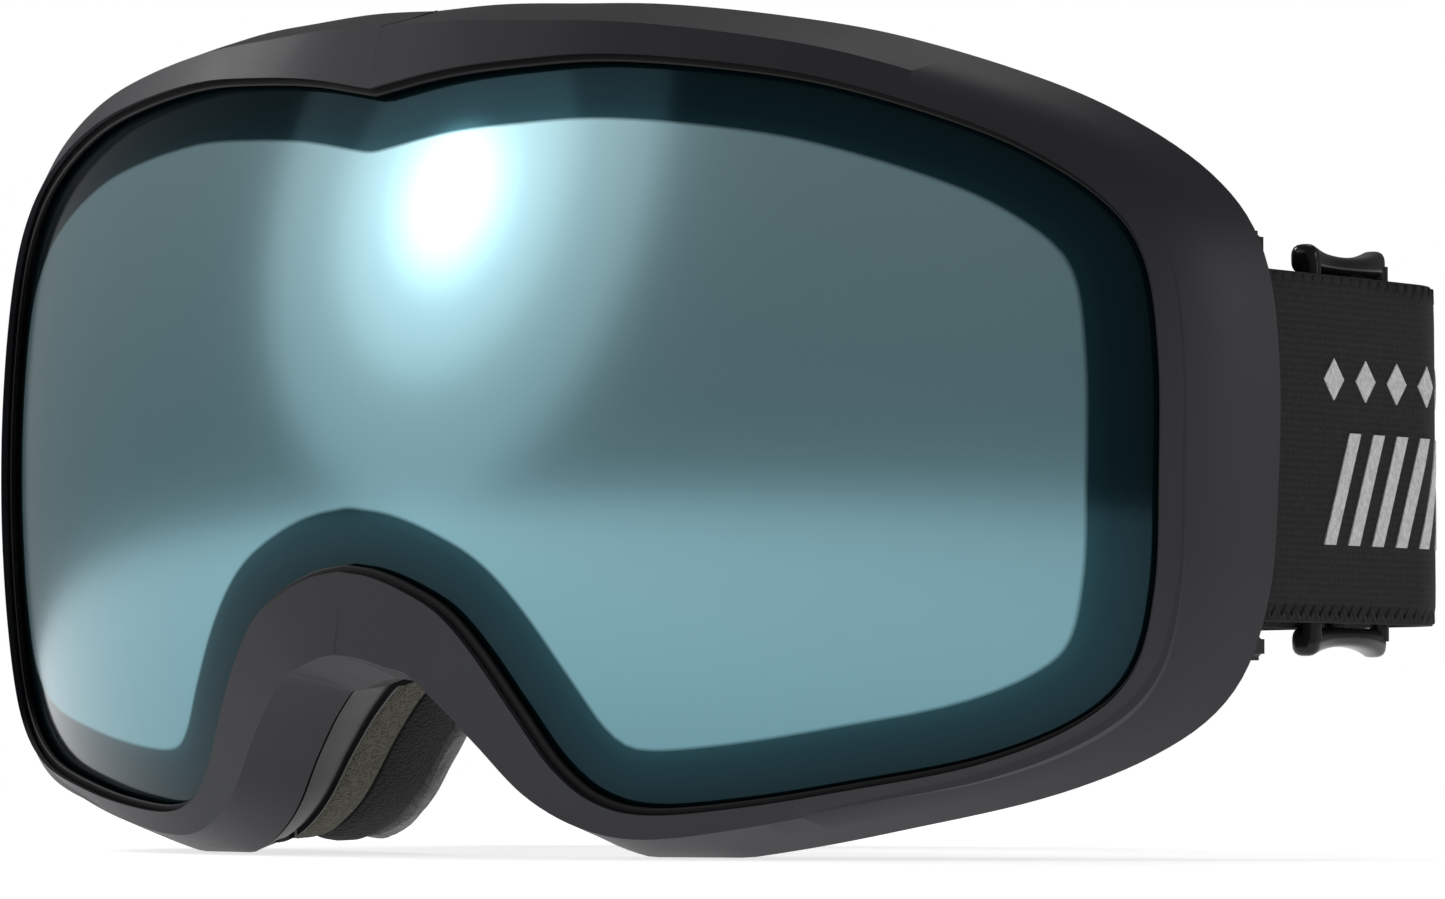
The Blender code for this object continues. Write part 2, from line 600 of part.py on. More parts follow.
def build():
    datum = reset()
    charcoal = material("charcoal_plastic", (0.045, 0.047, 0.052), 0.45)
    black = material("black_plastic", (0.012, 0.012, 0.013), 0.30)
    rubber = material("black_rubber", (0.010, 0.010, 0.010), 0.60)
    teal = material("teal_mirror", (0.10, 0.24, 0.28), 0.08, 0.6)
    clear = material("inner_pane", (0.20, 0.30, 0.32), 0.10)
    olive = material("olive_foam", (0.075, 0.070, 0.050), 0.95)
    dark_foam = material("black_foam", (0.010, 0.010, 0.010), 0.95)
    fleece = material("fleece", (0.030, 0.030, 0.032), 1.0)
    web = material("black_webbing", (0.010, 0.010, 0.011), 0.85)
    silicone = material("silicone", (0.20, 0.20, 0.21), 0.40)

    ring = stations()
    below = 10.0 * MM
    level = foot_level(ring)
    floor = boxes("floor_cut", [((2 * HALF_WIDTH, 80.0 * MM, below),
                                 (0.0, 0.3 * STRAP_DEPTH, level - below / 2))])
    boolean(front_frame(ring, charcoal), floor, "DIFFERENCE")
    lens_ring("lens_gasket", ring, -GASKET_LIP, LENS_SEAT, GASKET_FRONT, GASKET_BACK, rubber)
    pane("outer_lens", LENS_SEAT, 0.0, OUTER_BACK, teal)
    lens_ring("lens_spacer", ring, -SPACER_WIDTH, LENS_SEAT, SPACER_FRONT,
              SPACER_FRONT + SPACER_THICK, dark_foam)
    pane("inner_lens", LENS_SEAT, INNER_FRONT, INNER_BACK, clear)

    frame = rear_frame(ring, black)
    lugs(frame, ring)
    vents(frame, ring)
    boolean(frame, floor, "DIFFERENCE")
    comfort_front = COMFORT_FOAM + FLEECE + CLEARANCE
    foam_layer("foam_base_layer", ring, FOAM_STACK - 2 * CLEARANCE, comfort_front + CLEARANCE,
               FOAM_WIDTH, olive)
    foam_layer("foam_comfort_layer", ring, comfort_front, FLEECE + CLEARANCE,
               FOAM_WIDTH + 1.0 * MM, dark_foam)
    foam_layer("fleece_layer", ring, FLEECE, 0.0, FOAM_WIDTH + 1.0 * MM, fleece)
    vent_strip("top_vent_foam", ring[-BROW_STRIP:] + ring[:BROW_STRIP + 1], dark_foam)
    half = len(ring) // 2
    near, far = CHEEK_STRIP
    vent_strip("bottom_vent_foam_left", ring[half - far:half - near + 1], dark_foam)
    vent_strip("bottom_vent_foam_right", ring[half + near:half + far + 1], dark_foam)

    path = strap_half()
    band = path + [Vector((-p.x, p.y, p.z)) for p in path[-2::-1]]
    edge = STRAP_WIDTH / 2
    ribbon("strap_band", band, -edge, edge, STRAP_THICK, web)
    grip = [p for p in band if abs(p.x) < GRIP_HALF_LENGTH and p.y > STRAP_SIDE_END]
    lift = STRAP_WIDTH / 4
    inside = -(STRAP_THICK + GRIP_THICK) / 2 - CLEARANCE
    for name, middle in (("silicone_grip_upper", lift), ("silicone_grip_lower", -lift)):
        ribbon(name, grip, middle - GRIP_HEIGHT / 2, middle + GRIP_HEIGHT / 2, GRIP_THICK,
               silicone, offset=inside)
    for side in (1, -1):
        strap_bar(side, black)
        strap_return(side, web)
        sewn_end(side, web)
        slider(side, black)

    stand(datum, level)


def stand(datum, level):
    """Moves the datum so that the origin is at the bottom centre of the goggles' box."""
    bpy.context.view_layer.update()
    points = [v.co for obj in bpy.data.collections["goggles"].objects if obj.type == "MESH"
              for v in obj.data.vertices]
    front, rear = min(p.y for p in points), max(p.y for p in points)
    datum.location = (0.0, -(front + rear) / 2, -level)


build()
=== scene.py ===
"""Looks of the ski goggles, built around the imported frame.

The pieces are drawn in lens axes (X to the wearer's left, Y towards the face, Z up, zero at
the lens's foremost point) and set down at LENS_ORIGIN, which is read from the frame.
"""
from math import cos, hypot, pi, radians, sin, sqrt

import bmesh
import bpy
import numpy as np
from mathutils import Matrix, Vector


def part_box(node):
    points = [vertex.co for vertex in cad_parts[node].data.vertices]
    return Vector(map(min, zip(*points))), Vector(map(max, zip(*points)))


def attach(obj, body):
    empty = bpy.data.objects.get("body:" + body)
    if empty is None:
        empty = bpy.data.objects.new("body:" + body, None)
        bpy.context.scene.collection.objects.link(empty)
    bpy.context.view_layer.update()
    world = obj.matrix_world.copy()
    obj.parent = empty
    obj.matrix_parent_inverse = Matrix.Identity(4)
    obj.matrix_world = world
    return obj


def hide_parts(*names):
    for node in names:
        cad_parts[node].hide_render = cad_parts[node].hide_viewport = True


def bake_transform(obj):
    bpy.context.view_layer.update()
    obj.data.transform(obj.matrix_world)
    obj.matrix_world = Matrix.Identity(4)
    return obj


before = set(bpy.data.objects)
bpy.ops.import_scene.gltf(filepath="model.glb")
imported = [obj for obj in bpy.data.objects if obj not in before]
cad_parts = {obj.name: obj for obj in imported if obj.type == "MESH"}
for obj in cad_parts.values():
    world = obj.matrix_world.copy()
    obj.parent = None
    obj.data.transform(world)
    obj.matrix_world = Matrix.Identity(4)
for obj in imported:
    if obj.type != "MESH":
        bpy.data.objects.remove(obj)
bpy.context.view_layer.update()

MM = 0.001

# ---- sizes shared with the CAD part -----------------------
HALF_WIDTH = 84.8 * MM
HALF_HEIGHT = 42.0 * MM
LENS_RADIUS = 116.5 * MM
LENS_RADIUS_VERTICAL = 138.0 * MM
CLEARANCE = 0.4 * MM
OUTER_LENS_THICK = 1.2 * MM
INNER_LENS_THICK = 0.8 * MM
SPACER_THICK = 3.0 * MM
SPACER_WIDTH = 7.0 * MM
LENS_SEAT = 1.1 * MM
GASKET_LIP = 0.8 * MM
GASKET_THICK = 0.7 * MM
LIP_THICK = 0.7 * MM
RIDGE = 1.3 * MM
RIDGE_REACH = 16.0 * MM
BEVEL_OUT = 2.5 * MM
BEVEL_BACK = 6.2 * MM
RIM_WALL = 1.6 * MM
SKIRT_WALL = 2.0 * MM
FLANGE_THICK = 2.2 * MM
FLANGE_WIDTH = 5.5 * MM
STRAP_RECESS = 11.0 * MM
FACE_TAPER = 1.2 * MM
SLIDER_ROOM = 1.8 * MM
SIDE_INSET = 16.0 * MM
FACE_NOSE_Y = 35.0 * MM
FACE_BROW_Y = 51.0 * MM
SIDE_DEPTH = 35.0 * MM
BASE_FOAM = 5.5 * MM
COMFORT_FOAM = 8.5 * MM
FLEECE = 3.0 * MM
FOAM_WIDTH = 12.0 * MM
VENT_FOAM = 2.0 * MM
STRAP_WIDTH = 38.0 * MM
STRAP_THICK = 1.8 * MM
STRAP_REACH = 69.4 * MM
STRAP_STRAIGHT = 34.5 * MM
STRAP_CORNER = 16.0 * MM
CORNER_TURN = 63
LEAN = radians(6.4)
BAR_RADIUS = 1.5 * MM
BAR_INSIDE = 2.8 * MM
BAR_BEHIND = 4.1 * MM
LUG_THICK = 3.0 * MM
LUG_REACH = 2.2 * MM
LUG_ROOT = 3.0 * MM
SLIDER_LENGTH = 18.0 * MM
SLIDER_PROUD = 3.6 * MM
SLIDER_BAR = 2.2 * MM
SLIDER_BEHIND = 23.5 * MM
SEWN_THICK = 1.2 * MM
FOOT_CUT = 0.5 * MM

# ---- fineness of the visible meshes -----------------------
STEPS = 7                                # sections between two points of OUTLINE
PANE_ROWS = 64

# ---- frame details ----------------------------------------
BREAK_OUT, BREAK_BACK = 0.55, 0.42       # where the bevel changes slope, as shares of its size
FRAME_EDGE = 0.35 * MM                   # rounding of the frame's edges
SKIRT_BELLY = 0.25 * MM                  # the skirt swells a little at mid depth
SEAT_STEP = 0.7 * MM                     # and steps out where the foam is glued on
SEAT_FROM, SEAT_TO = 0.93, 0.94          # that step's place, as shares of the skirt's depth
LUG_PAST_BAR = 0.5 * MM
LUG_EDGE = 0.7 * MM
VENT_AT = 0.56                           # vents' middle, as a share of the skirt's depth
VENT_SIZE = (4.0 * MM, 12.0 * MM)        # width and reach of a vent's cutter
VENT_CORNER = 1.7 * MM
BROW_VENTS, BROW_VENT_LONG = (3, 7, 11), 7.0 * MM
CHEEK_VENTS, CHEEK_VENT_LONG = (14, 18), 5.0 * MM
BROW_STRIP, CHEEK_STRIP = 13, (12, 21)   # vent foams' ends, as half steps of OUTLINE
STRIP_FROM, STRIP_TO = 0.30, 0.82        # and their edges, as shares of the skirt's depth

# ---- strap details ----------------------------------------
WRAP_FROM, WRAP_STEP = -168, 8           # degrees round the bar, where the strap starts
WRAP_POINTS = -WRAP_FROM // WRAP_STEP
SIDE_POINTS, REAR_POINTS = 20, 40
STITCH_PITCH, STITCH_SWING, STITCH_RADIUS = 1.1 * MM, 0.75 * MM, 0.20 * MM
GRIP_SPAN, GRIP_RADIUS, GRIP_WAVE = 86.0 * MM, 0.55 * MM, 1.8 * MM
GRIP_TURNS = 480.0                       # the silicone lines' wave, in radians for each metre
GRIP_STEPS = 160
BAR_PITCH, BAR_WIDE, BAR_LEAN = 5.6 * MM, 2.6 * MM, 6.0 * MM     # the motif's slanted bars
BAR_LOW, BAR_HIGH, BAR_ROWS = -10.5 * MM, 1.8 * MM, 12
LOZENGE_PITCH, LOZENGE_Z, LOZENGE_HALF = 7.4 * MM, 7.6 * MM, 2.3 * MM
LOZENGE_TIP = 0.01 * MM                  # keeps the tips from closing to nothing
SLIDER_SWAY, SLIDER_DOME = 0.30 * MM, 1.1 * MM
SLIDER_DIP = 0.34                        # the ends' top is lower in the middle by this share

LENS_ORIGIN = Vector((0.0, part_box("outer_lens")[0][1],
                      (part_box("strap_band")[0][2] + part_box("strap_band")[1][2]) / 2))

# +X half of the lens edge, brow to nose: x and z as shares of HALF_WIDTH and HALF_HEIGHT,
# then the width and rise of the frame's front facet in millimetres.
OUTLINE = [
    (0.000, 0.944, 7.0, 1.4), (0.112, 0.982, 5.6, 1.4), (0.225, 1.000, 4.4, 1.4),
    (0.350, 1.005, 3.6, 1.4), (0.500, 0.974, 3.2, 1.4), (0.630, 0.925, 3.0, 1.4),
    (0.765, 0.834, 2.9, 1.4), (0.862, 0.738, 2.8, 1.4), (0.942, 0.605, 2.7, 1.4),
    (0.983, 0.450, 2.6, 1.4), (1.000, 0.200, 2.5, 1.4), (1.001, -0.100, 2.4, 1.4),
    (0.993, -0.375, 2.1, 1.4), (0.966, -0.588, 1.6, 1.4), (0.906, -0.722, 1.2, 1.4),
    (0.800, -0.823, 1.2, 1.4), (0.650, -0.889, 1.7, 1.5), (0.525, -0.931, 2.1, 1.6),
    (0.412, -0.949, 2.6, 1.8), (0.344, -0.916, 3.4, 2.0), (0.294, -0.828, 4.8, 2.3),
    (0.250, -0.687, 6.0, 2.5), (0.204, -0.543, 7.2, 2.7), (0.158, -0.437, 7.9, 2.7),
    (0.106, -0.376, 8.6, 2.7), (0.052, -0.336, 8.9, 2.7), (0.000, -0.320, 9.0, 2.7),
]
LAST = len(OUTLINE) - 1


# ---- outline and lens surface -----------------------------
def catmull(rows, u):
    """Catmull-Rom curve through the rows, at row number u."""
    i = min(int(u), len(rows) - 2)
    t = u - i
    p1, p2 = rows[i], rows[i + 1]
    p0 = rows[i - 1] if i > 0 else [2 * a - b for a, b in zip(p1, p2)]
    p3 = rows[i + 2] if i + 2 < len(rows) else [2 * b - a for a, b in zip(p1, p2)]
    return [0.5 * (2 * b + (c - a) * t + (2 * a - 5 * b + 4 * c - d) * t * t
                   + (3 * b - a - 3 * c + d) * t ** 3)
            for a, b, c, d in zip(p0, p1, p2, p3)]


def edge_at(u):
    """Lens edge at u: x, z, outward normal, facet width and rise, on the +X half."""
    x, z, width, rise = catmull(OUTLINE, u)
    a, b = catmull(OUTLINE, max(u - 0.25, 0.0)), catmull(OUTLINE, min(u + 0.25, LAST))
    tx, tz = (b[0] - a[0]) * HALF_WIDTH, (b[1] - a[1]) * HALF_HEIGHT
    nx, nz = -tz / hypot(tx, tz), tx / hypot(tx, tz)
    if u <= 0.0 or u >= LAST:
        nx, nz = 0.0, 1.0 if u <= 0.0 else -1.0
    ridge = RIDGE * max(0.0, 1 - x * HALF_WIDTH / RIDGE_REACH)
    return x * HALF_WIDTH, z * HALF_HEIGHT, nx, nz, width * MM, rise * MM + ridge


def stations(steps=STEPS):
    """The whole lens edge, brow first, clockwise for the viewer."""
    half = [edge_at(i / steps) for i in range(LAST * steps + 1)]
    return half + [(-x, z, -nx, nz, w, r) for x, z, nx, nz, w, r in half[-2:0:-1]]


def lens_y(x, z):
    """Depth of the outer lens's front surface."""
    reach = min(abs(x), 0.98 * LENS_RADIUS)
    return LENS_RADIUS - sqrt(LENS_RADIUS ** 2 - reach ** 2) + z * z / (2 * LENS_RADIUS_VERTICAL)


def layer(x, z, depth):
    """A point this far behind the lens surface, square to it."""
    reach = min(abs(x), 0.98 * LENS_RADIUS)
    fx = reach / sqrt(LENS_RADIUS ** 2 - reach ** 2)
    fz = z / LENS_RADIUS_VERTICAL
    return Vector((x, lens_y(x, z) + depth * sqrt(1 + fx * fx + fz * fz), z))


def rim(station, out, depth=None, back=None):
    """A point beside the lens edge, by layer depth or by plain distance back."""
    x, z, nx, nz = station[:4]
    px, pz = x + nx * out, z + nz * out
    if depth is not None:
        return layer(px, pz, depth)
    return Vector((px, lens_y(px, pz) + back, pz))


def smooth(t):
    t = min(max(t, 0.0), 1.0)
    return t * t * (3 - 2 * t)


def inward(point, amount):
    """Moves a point level towards the goggles' middle line."""
    spine = Vector((max(-0.6 * HALF_WIDTH, min(0.6 * HALF_WIDTH, point.x)), point.y, 0.003))
    step = spine - point
    return point + step * (amount / step.length)


WIDEST = max(range(len(OUTLINE)), key=lambda i: OUTLINE[i][0])
SIDE_EDGE = edge_at(WIDEST)
RIM_Y = rim(SIDE_EDGE, SIDE_EDGE[4] + BEVEL_OUT, back=BEVEL_BACK).y
FACE_SIDE_Y = RIM_Y + SIDE_DEPTH
BAR_X = HALF_WIDTH - BAR_INSIDE
BAR_Y = RIM_Y + BAR_BEHIND
SLIDER_Y = BAR_Y + SLIDER_BEHIND
STRAP_SIDE_END = BAR_Y + STRAP_STRAIGHT
STRAP_DEPTH = BAR_Y + STRAP_REACH

OUTER_BACK = OUTER_LENS_THICK
SPACER_FRONT = OUTER_BACK + CLEARANCE
INNER_FRONT = SPACER_FRONT + SPACER_THICK + CLEARANCE
INNER_BACK = INNER_FRONT + INNER_LENS_THICK
FLANGE_FRONT = INNER_BACK + CLEARANCE
GASKET_BACK = -CLEARANCE
GASKET_FRONT = GASKET_BACK - GASKET_THICK
LIP_BACK = GASKET_FRONT - CLEARANCE
LIP_FRONT = LIP_BACK - LIP_THICK


# ---- rear frame and foam shapes ---------------------------
def beside_strap(x, z):
    level = 1 - smooth((abs(z) - 0.62 * STRAP_WIDTH) / (0.28 * STRAP_WIDTH))
    return level * smooth((abs(x) - 0.6 * HALF_WIDTH) / (0.2 * HALF_WIDTH))


def recess(x, z):
    """How far the rear frame stands in from the rim."""
    corner = 0.25 * smooth((abs(x) - 0.6 * HALF_WIDTH) / (0.2 * HALF_WIDTH))
    return STRAP_RECESS * max(beside_strap(x, z), corner)


def face_y(x, z):
    """Depth of the face side, curved round the wearer's face."""
    up = smooth((z + 0.75 * HALF_HEIGHT) / (1.9 * HALF_HEIGHT))
    middle = FACE_NOSE_Y + (FACE_BROW_Y - FACE_NOSE_Y) * up
    return middle + (FACE_SIDE_Y - middle) * (x / HALF_WIDTH) ** 2


def behind_rim(s):
    edge = rim(s, s[4] + BEVEL_OUT - CLEARANCE / 2, back=BEVEL_BACK + CLEARANCE)
    edge.y += CLEARANCE / 2
    return edge


def skirt_front(s):
    return inward(behind_rim(s), recess(s[0], s[1]))


def face_inset(x, z):
    beside = recess(x, z) + FACE_TAPER + SLIDER_ROOM * beside_strap(x, z)
    start = (0.12 + 0.18 * smooth(0.5 - z / HALF_HEIGHT)) * HALF_WIDTH
    temple = SIDE_INSET * smooth((abs(x) - start) / (0.89 * HALF_WIDTH - start))
    return max(beside, FACE_TAPER + temple)


def face_edge(s, before_face):
    point = inward(behind_rim(s), face_inset(s[0], s[1]))
    point.y = face_y(point.x, point.z) - before_face
    return point


FOAM_STACK = BASE_FOAM + COMFORT_FOAM + FLEECE + 4 * CLEARANCE


def skirt_wall(s, along, inset):
    """A point of the skirt, from its front (0) to its foam seat (1)."""
    point = skirt_front(s).lerp(face_edge(s, FOAM_STACK), along)
    return inward(point, inset) if inset else point


# ---- mesh helpers -----------------------------------------
def finish_mesh(name, bm, mat, smooth_angle=35):
    """A bmesh in lens axes becomes a named object in the frame's axes."""
    bmesh.ops.recalc_face_normals(bm, faces=bm.faces)
    bmesh.ops.translate(bm, vec=LENS_ORIGIN, verts=bm.verts)
    mesh = bpy.data.meshes.new(name)
    bm.to_mesh(mesh)
    bm.free()
    obj = bpy.data.objects.new(name, mesh)
    bpy.context.scene.collection.objects.link(obj)
    mesh.shade_smooth()
    mesh.set_sharp_from_angle(angle=radians(smooth_angle))
    if mat:
        mesh.materials.append(mat)
    return obj


def loft(name, loops, mat, closed, creases=(), uv_steps=None):
    """A tube through equal cross-sections; with uv_steps, U runs along and V round, in metres."""
    bm = bmesh.new()
    rings = [[bm.verts.new(p) for p in loop] for loop in loops]
    count = len(rings[0])
    pairs = [(i, i + 1) for i in range(len(rings) - 1)] + ([(len(rings) - 1, 0)] if closed else [])
    uv = bm.loops.layers.uv.new("UVMap") if uv_steps else None
    for a, b in pairs:
        for i in range(count):
            j = (i + 1) % count
            face = bm.faces.new((rings[a][i], rings[a][j], rings[b][j], rings[b][i]))
            if uv:
                for corner, (row, col) in zip(face.loops, ((a, i), (a, i + 1), (b, i + 1), (b, i))):
                    corner[uv].uv = (uv_steps[0][row], uv_steps[1][col])
    if not closed:
        bm.faces.new(rings[0])
        bm.faces.new(rings[-1])
    for station in creases:
        for i in range(count):
            edge = bm.edges.get((rings[station][i], rings[station][(i + 1) % count]))
            edge.smooth = False
    marks = [(rings[s][i].co + LENS_ORIGIN, rings[s][(i + 1) % count].co + LENS_ORIGIN)
             for s in creases for i in range(count)]
    obj = finish_mesh(name, bm, mat)
    if marks:
        keys = {tuple(sorted((tuple(round(c, 6) for c in a), tuple(round(c, 6) for c in b))))
                for a, b in marks}
        verts = obj.data.vertices
        for edge in obj.data.edges:
            ends = tuple(sorted(tuple(round(c, 6) for c in verts[v].co) for v in edge.vertices))
            if ends in keys:
                edge.use_edge_sharp = True
    return obj


def add_bevel(obj, width, segments=3, angle=30):
    mod = obj.modifiers.new("soft_edges", "BEVEL")
    mod.width = width
    mod.segments = segments
    mod.limit_method = "ANGLE"
    mod.angle_limit = radians(angle)
    mod.harden_normals = False
    return obj


def apply_modifiers(obj):
    """Bakes the object's modifiers into its mesh."""
    graph = bpy.context.evaluated_depsgraph_get()
    mesh = bpy.data.meshes.new_from_object(obj.evaluated_get(graph))
    obj.modifiers.clear()
    obj.data = mesh
    return obj


def boolean(obj, tool, operation):
    """Cuts or joins a helper object into obj, then removes the helper."""
    mod = obj.modifiers.new("boolean", "BOOLEAN")
    mod.operation = operation
    mod.object = tool
    apply_modifiers(obj)
    bpy.data.objects.remove(tool, do_unlink=True)
    return obj


def pane(name, out, front, back, mat):
    """A lens on the toric surface, with each point's distance from the lens edge stored."""
    columns = WIDEST * STEPS
    half = []
    for i in range(columns + 1):
        top = edge_at(i / STEPS)
        low = edge_at(LAST - i * (LAST - WIDEST) / columns)
        half.append([(s[0] + s[2] * out, s[1] + s[3] * out) for s in (top, low)])
    half[-1][1] = half[-1][0]
    cols = [[(-x, z) for x, z in pair] for pair in half[:0:-1]] + half
    bm = bmesh.new()
    sides = []
    for depth in (front, back):
        grid = []
        for (tx, tz), (lx, lz) in cols:
            if (tx, tz) == (lx, lz):
                grid.append([bm.verts.new(layer(tx, tz, depth))] * (PANE_ROWS + 1))
                continue
            grid.append([bm.verts.new(layer(tx + (lx - tx) * k / PANE_ROWS,
                                            tz + (lz - tz) * k / PANE_ROWS, depth))
                         for k in range(PANE_ROWS + 1)])
        for a, b in zip(grid, grid[1:]):
            for k in range(PANE_ROWS):
                bm.faces.new(tuple(dict.fromkeys((a[k], b[k], b[k + 1], a[k + 1]))))
        sides.append(grid)
    for row in (0, PANE_ROWS):
        line_a, line_b = [g[row] for g in sides[0]], [g[row] for g in sides[1]]
        for i in range(len(line_a) - 1):
            bm.faces.new((line_a[i], line_a[i + 1], line_b[i + 1], line_b[i]))
    obj = finish_mesh(name, bm, mat, 50)
    ring = np.array([s[:2] for s in stations(12)])
    points = np.array([v.co - LENS_ORIGIN for v in obj.data.vertices])[:, (0, 2)]
    gap = np.concatenate([np.linalg.norm(part[:, None] - ring[None], axis=2).min(axis=1)
                          for part in np.array_split(points, 20)])
    store = obj.data.attributes.new("edge_mm", "FLOAT", "POINT")
    store.data.foreach_set("value", (gap / MM).astype(np.float32))
    return obj


# ---- materials --------------------------------------------
class Mat:
    """A Principled material with short calls for its nodes."""

    def __init__(self, name, colour=(0.5, 0.5, 0.5), roughness=0.5, **sockets):
        self.mat = bpy.data.materials.new(name)
        self.mat.use_nodes = True
        self.tree = self.mat.node_tree
        self.shader = self.tree.nodes["Principled BSDF"]
        self.shader.inputs["Base Color"].default_value = (*colour, 1.0)
        self.shader.inputs["Roughness"].default_value = roughness
        for key, value in sockets.items():
            self.shader.inputs[key.replace("_", " ")].default_value = value

    def node(self, kind, **values):
        made = self.tree.nodes.new(kind)
        for key, value in values.items():
            if hasattr(made, key):
                setattr(made, key, value)
            else:
                made.inputs[key.replace("_", " ")].default_value = value
        return made

    def link(self, a, b):
        self.tree.links.new(a, b)

    def coords(self, kind="Object"):
        return self.node("ShaderNodeTexCoord").outputs[kind]

    def noise(self, scale, detail=3.0, rough=0.5):
        made = self.node("ShaderNodeTexNoise", Scale=scale, Detail=detail, Roughness=rough)
        self.link(self.coords(), made.inputs["Vector"])
        return made.outputs["Fac"]

    def ramp(self, source, stops):
        made = self.node("ShaderNodeValToRGB")
        bar = made.color_ramp
        while len(bar.elements) < len(stops):
            bar.elements.new(0.5)
        for element, (place, colour) in zip(bar.elements, stops):
            element.position = place
            element.color = (*colour, 1.0)
        self.link(source, made.inputs["Fac"])
        return made.outputs["Color"]

    def scale_range(self, source, low, high, to_low=0.0, to_high=1.0):
        made = self.node("ShaderNodeMapRange")
        for key, value in (("From Min", low), ("From Max", high), ("To Min", to_low),
                           ("To Max", to_high)):
            made.inputs[key].default_value = value
        self.link(source, made.inputs["Value"])
        return made.outputs["Result"]

    def math(self, operation, a, b):
        made = self.node("ShaderNodeMath", operation=operation)
        for socket, value in zip(made.inputs, (a, b)):
            if isinstance(value, (int, float)):
                socket.default_value = value
            else:
                self.link(value, socket)
        return made.outputs["Value"]

    def bump(self, height, distance):
        made = self.node("ShaderNodeBump", Strength=1.0, Distance=distance)
        self.link(height, made.inputs["Height"])
        self.link(made.outputs["Normal"], self.shader.inputs["Normal"])


def moulded(name, colour, roughness, grain, spread=0.12):
    """Moulded plastic: a fine spark-eroded grain and a slight unevenness of gloss and tone."""
    m = Mat(name, colour, roughness, Specular_IOR_Level=0.26)
    fine = m.noise(2600.0, 2.0)
    broad = m.noise(38.0, 3.0)
    dark = tuple(c * (1 - spread) for c in colour)
    light = tuple(c * (1 + spread) for c in colour)
    m.link(m.ramp(broad, [(0.35, dark), (0.65, light)]), m.shader.inputs["Base Color"])
    m.link(m.scale_range(broad, 0.3, 0.7, roughness - 0.04, roughness + 0.05),
           m.shader.inputs["Roughness"])
    m.bump(fine, grain)
    return m.mat


def foam(name, colour, scale):
    """Open-cell foam: small round cells with thin light walls and dark pits, the pits' darkness and
    the walls' lightness painted shade and light.
    """
    m = Mat(name, colour, 0.95, Specular_IOR_Level=0.15, Sheen_Weight=0.05)
    cells = m.node("ShaderNodeTexVoronoi", Scale=scale)
    m.link(m.coords(), cells.inputs["Vector"])
    # Painted shade: the same pit mask that bumps the cells darkens the colour in their pits and
    # lightens it on their walls.
    pit_depth_and_shade = m.scale_range(cells.outputs["Distance"], 0.05, 0.65)
    dark = tuple(c * 0.45 for c in colour)
    light = tuple(c * 1.5 for c in colour)
    m.link(m.ramp(pit_depth_and_shade, [(0.0, dark), (0.85, light)]), m.shader.inputs["Base Color"])
    rough = m.noise(scale * 1.7, 4.0, 0.7)
    m.bump(m.math("ADD", pit_depth_and_shade, m.math("MULTIPLY", rough, 0.8)), 0.18 * MM)
    return m.mat


def fleece_material():
    """Brushed microfleece: short matted pile with a soft sheen."""
    m = Mat("fleece_pile", (0.030, 0.030, 0.032), 1.0, Specular_IOR_Level=0.1,
            Sheen_Weight=0.6, Sheen_Roughness=0.6)
    pile = m.noise(900.0, 5.0, 0.8)
    tufts = m.noise(160.0, 2.0)
    m.link(m.ramp(pile, [(0.3, (0.012, 0.012, 0.013)), (0.75, (0.060, 0.060, 0.064))]),
           m.shader.inputs["Base Color"])
    m.bump(m.math("ADD", pile, tufts), 0.5 * MM)
    return m.mat


def woven(name, colour, light):
    """Woven elastic: fine ribs across the strap, crossed by warp threads, with painted shade between
    them; UVs are in metres.
    """
    m = Mat(name, colour, 0.92, Specular_IOR_Level=0.15, Sheen_Weight=0.06, Sheen_Roughness=0.5)
    uv = m.coords("UV")
    ribs = m.node("ShaderNodeTexWave", bands_direction="X", Scale=560.0, Distortion=0.8)
    ribs.inputs["Detail Scale"].default_value = 300.0
    warp = m.node("ShaderNodeTexWave", bands_direction="Y", Scale=420.0, Distortion=0.6)
    for texture in (ribs, warp):
        m.link(uv, texture.inputs["Vector"])
    threads = m.math("MULTIPLY", ribs.outputs["Fac"], warp.outputs["Fac"])
    fuzz = m.noise(1900.0, 4.0, 0.75)
    height = m.math("ADD", m.math("MULTIPLY", threads, 0.25), fuzz)
    # Partly painted shade: the colour darkens where the weave is low between threads and lightens on
    # raised threads, and the fuzz adds random tone.
    m.link(m.ramp(height, [(0.15, tuple(c * 0.45 for c in colour)), (0.55, colour),
                           (1.0, light)]), m.shader.inputs["Base Color"])
    m.bump(height, 0.10 * MM)
    return m.mat


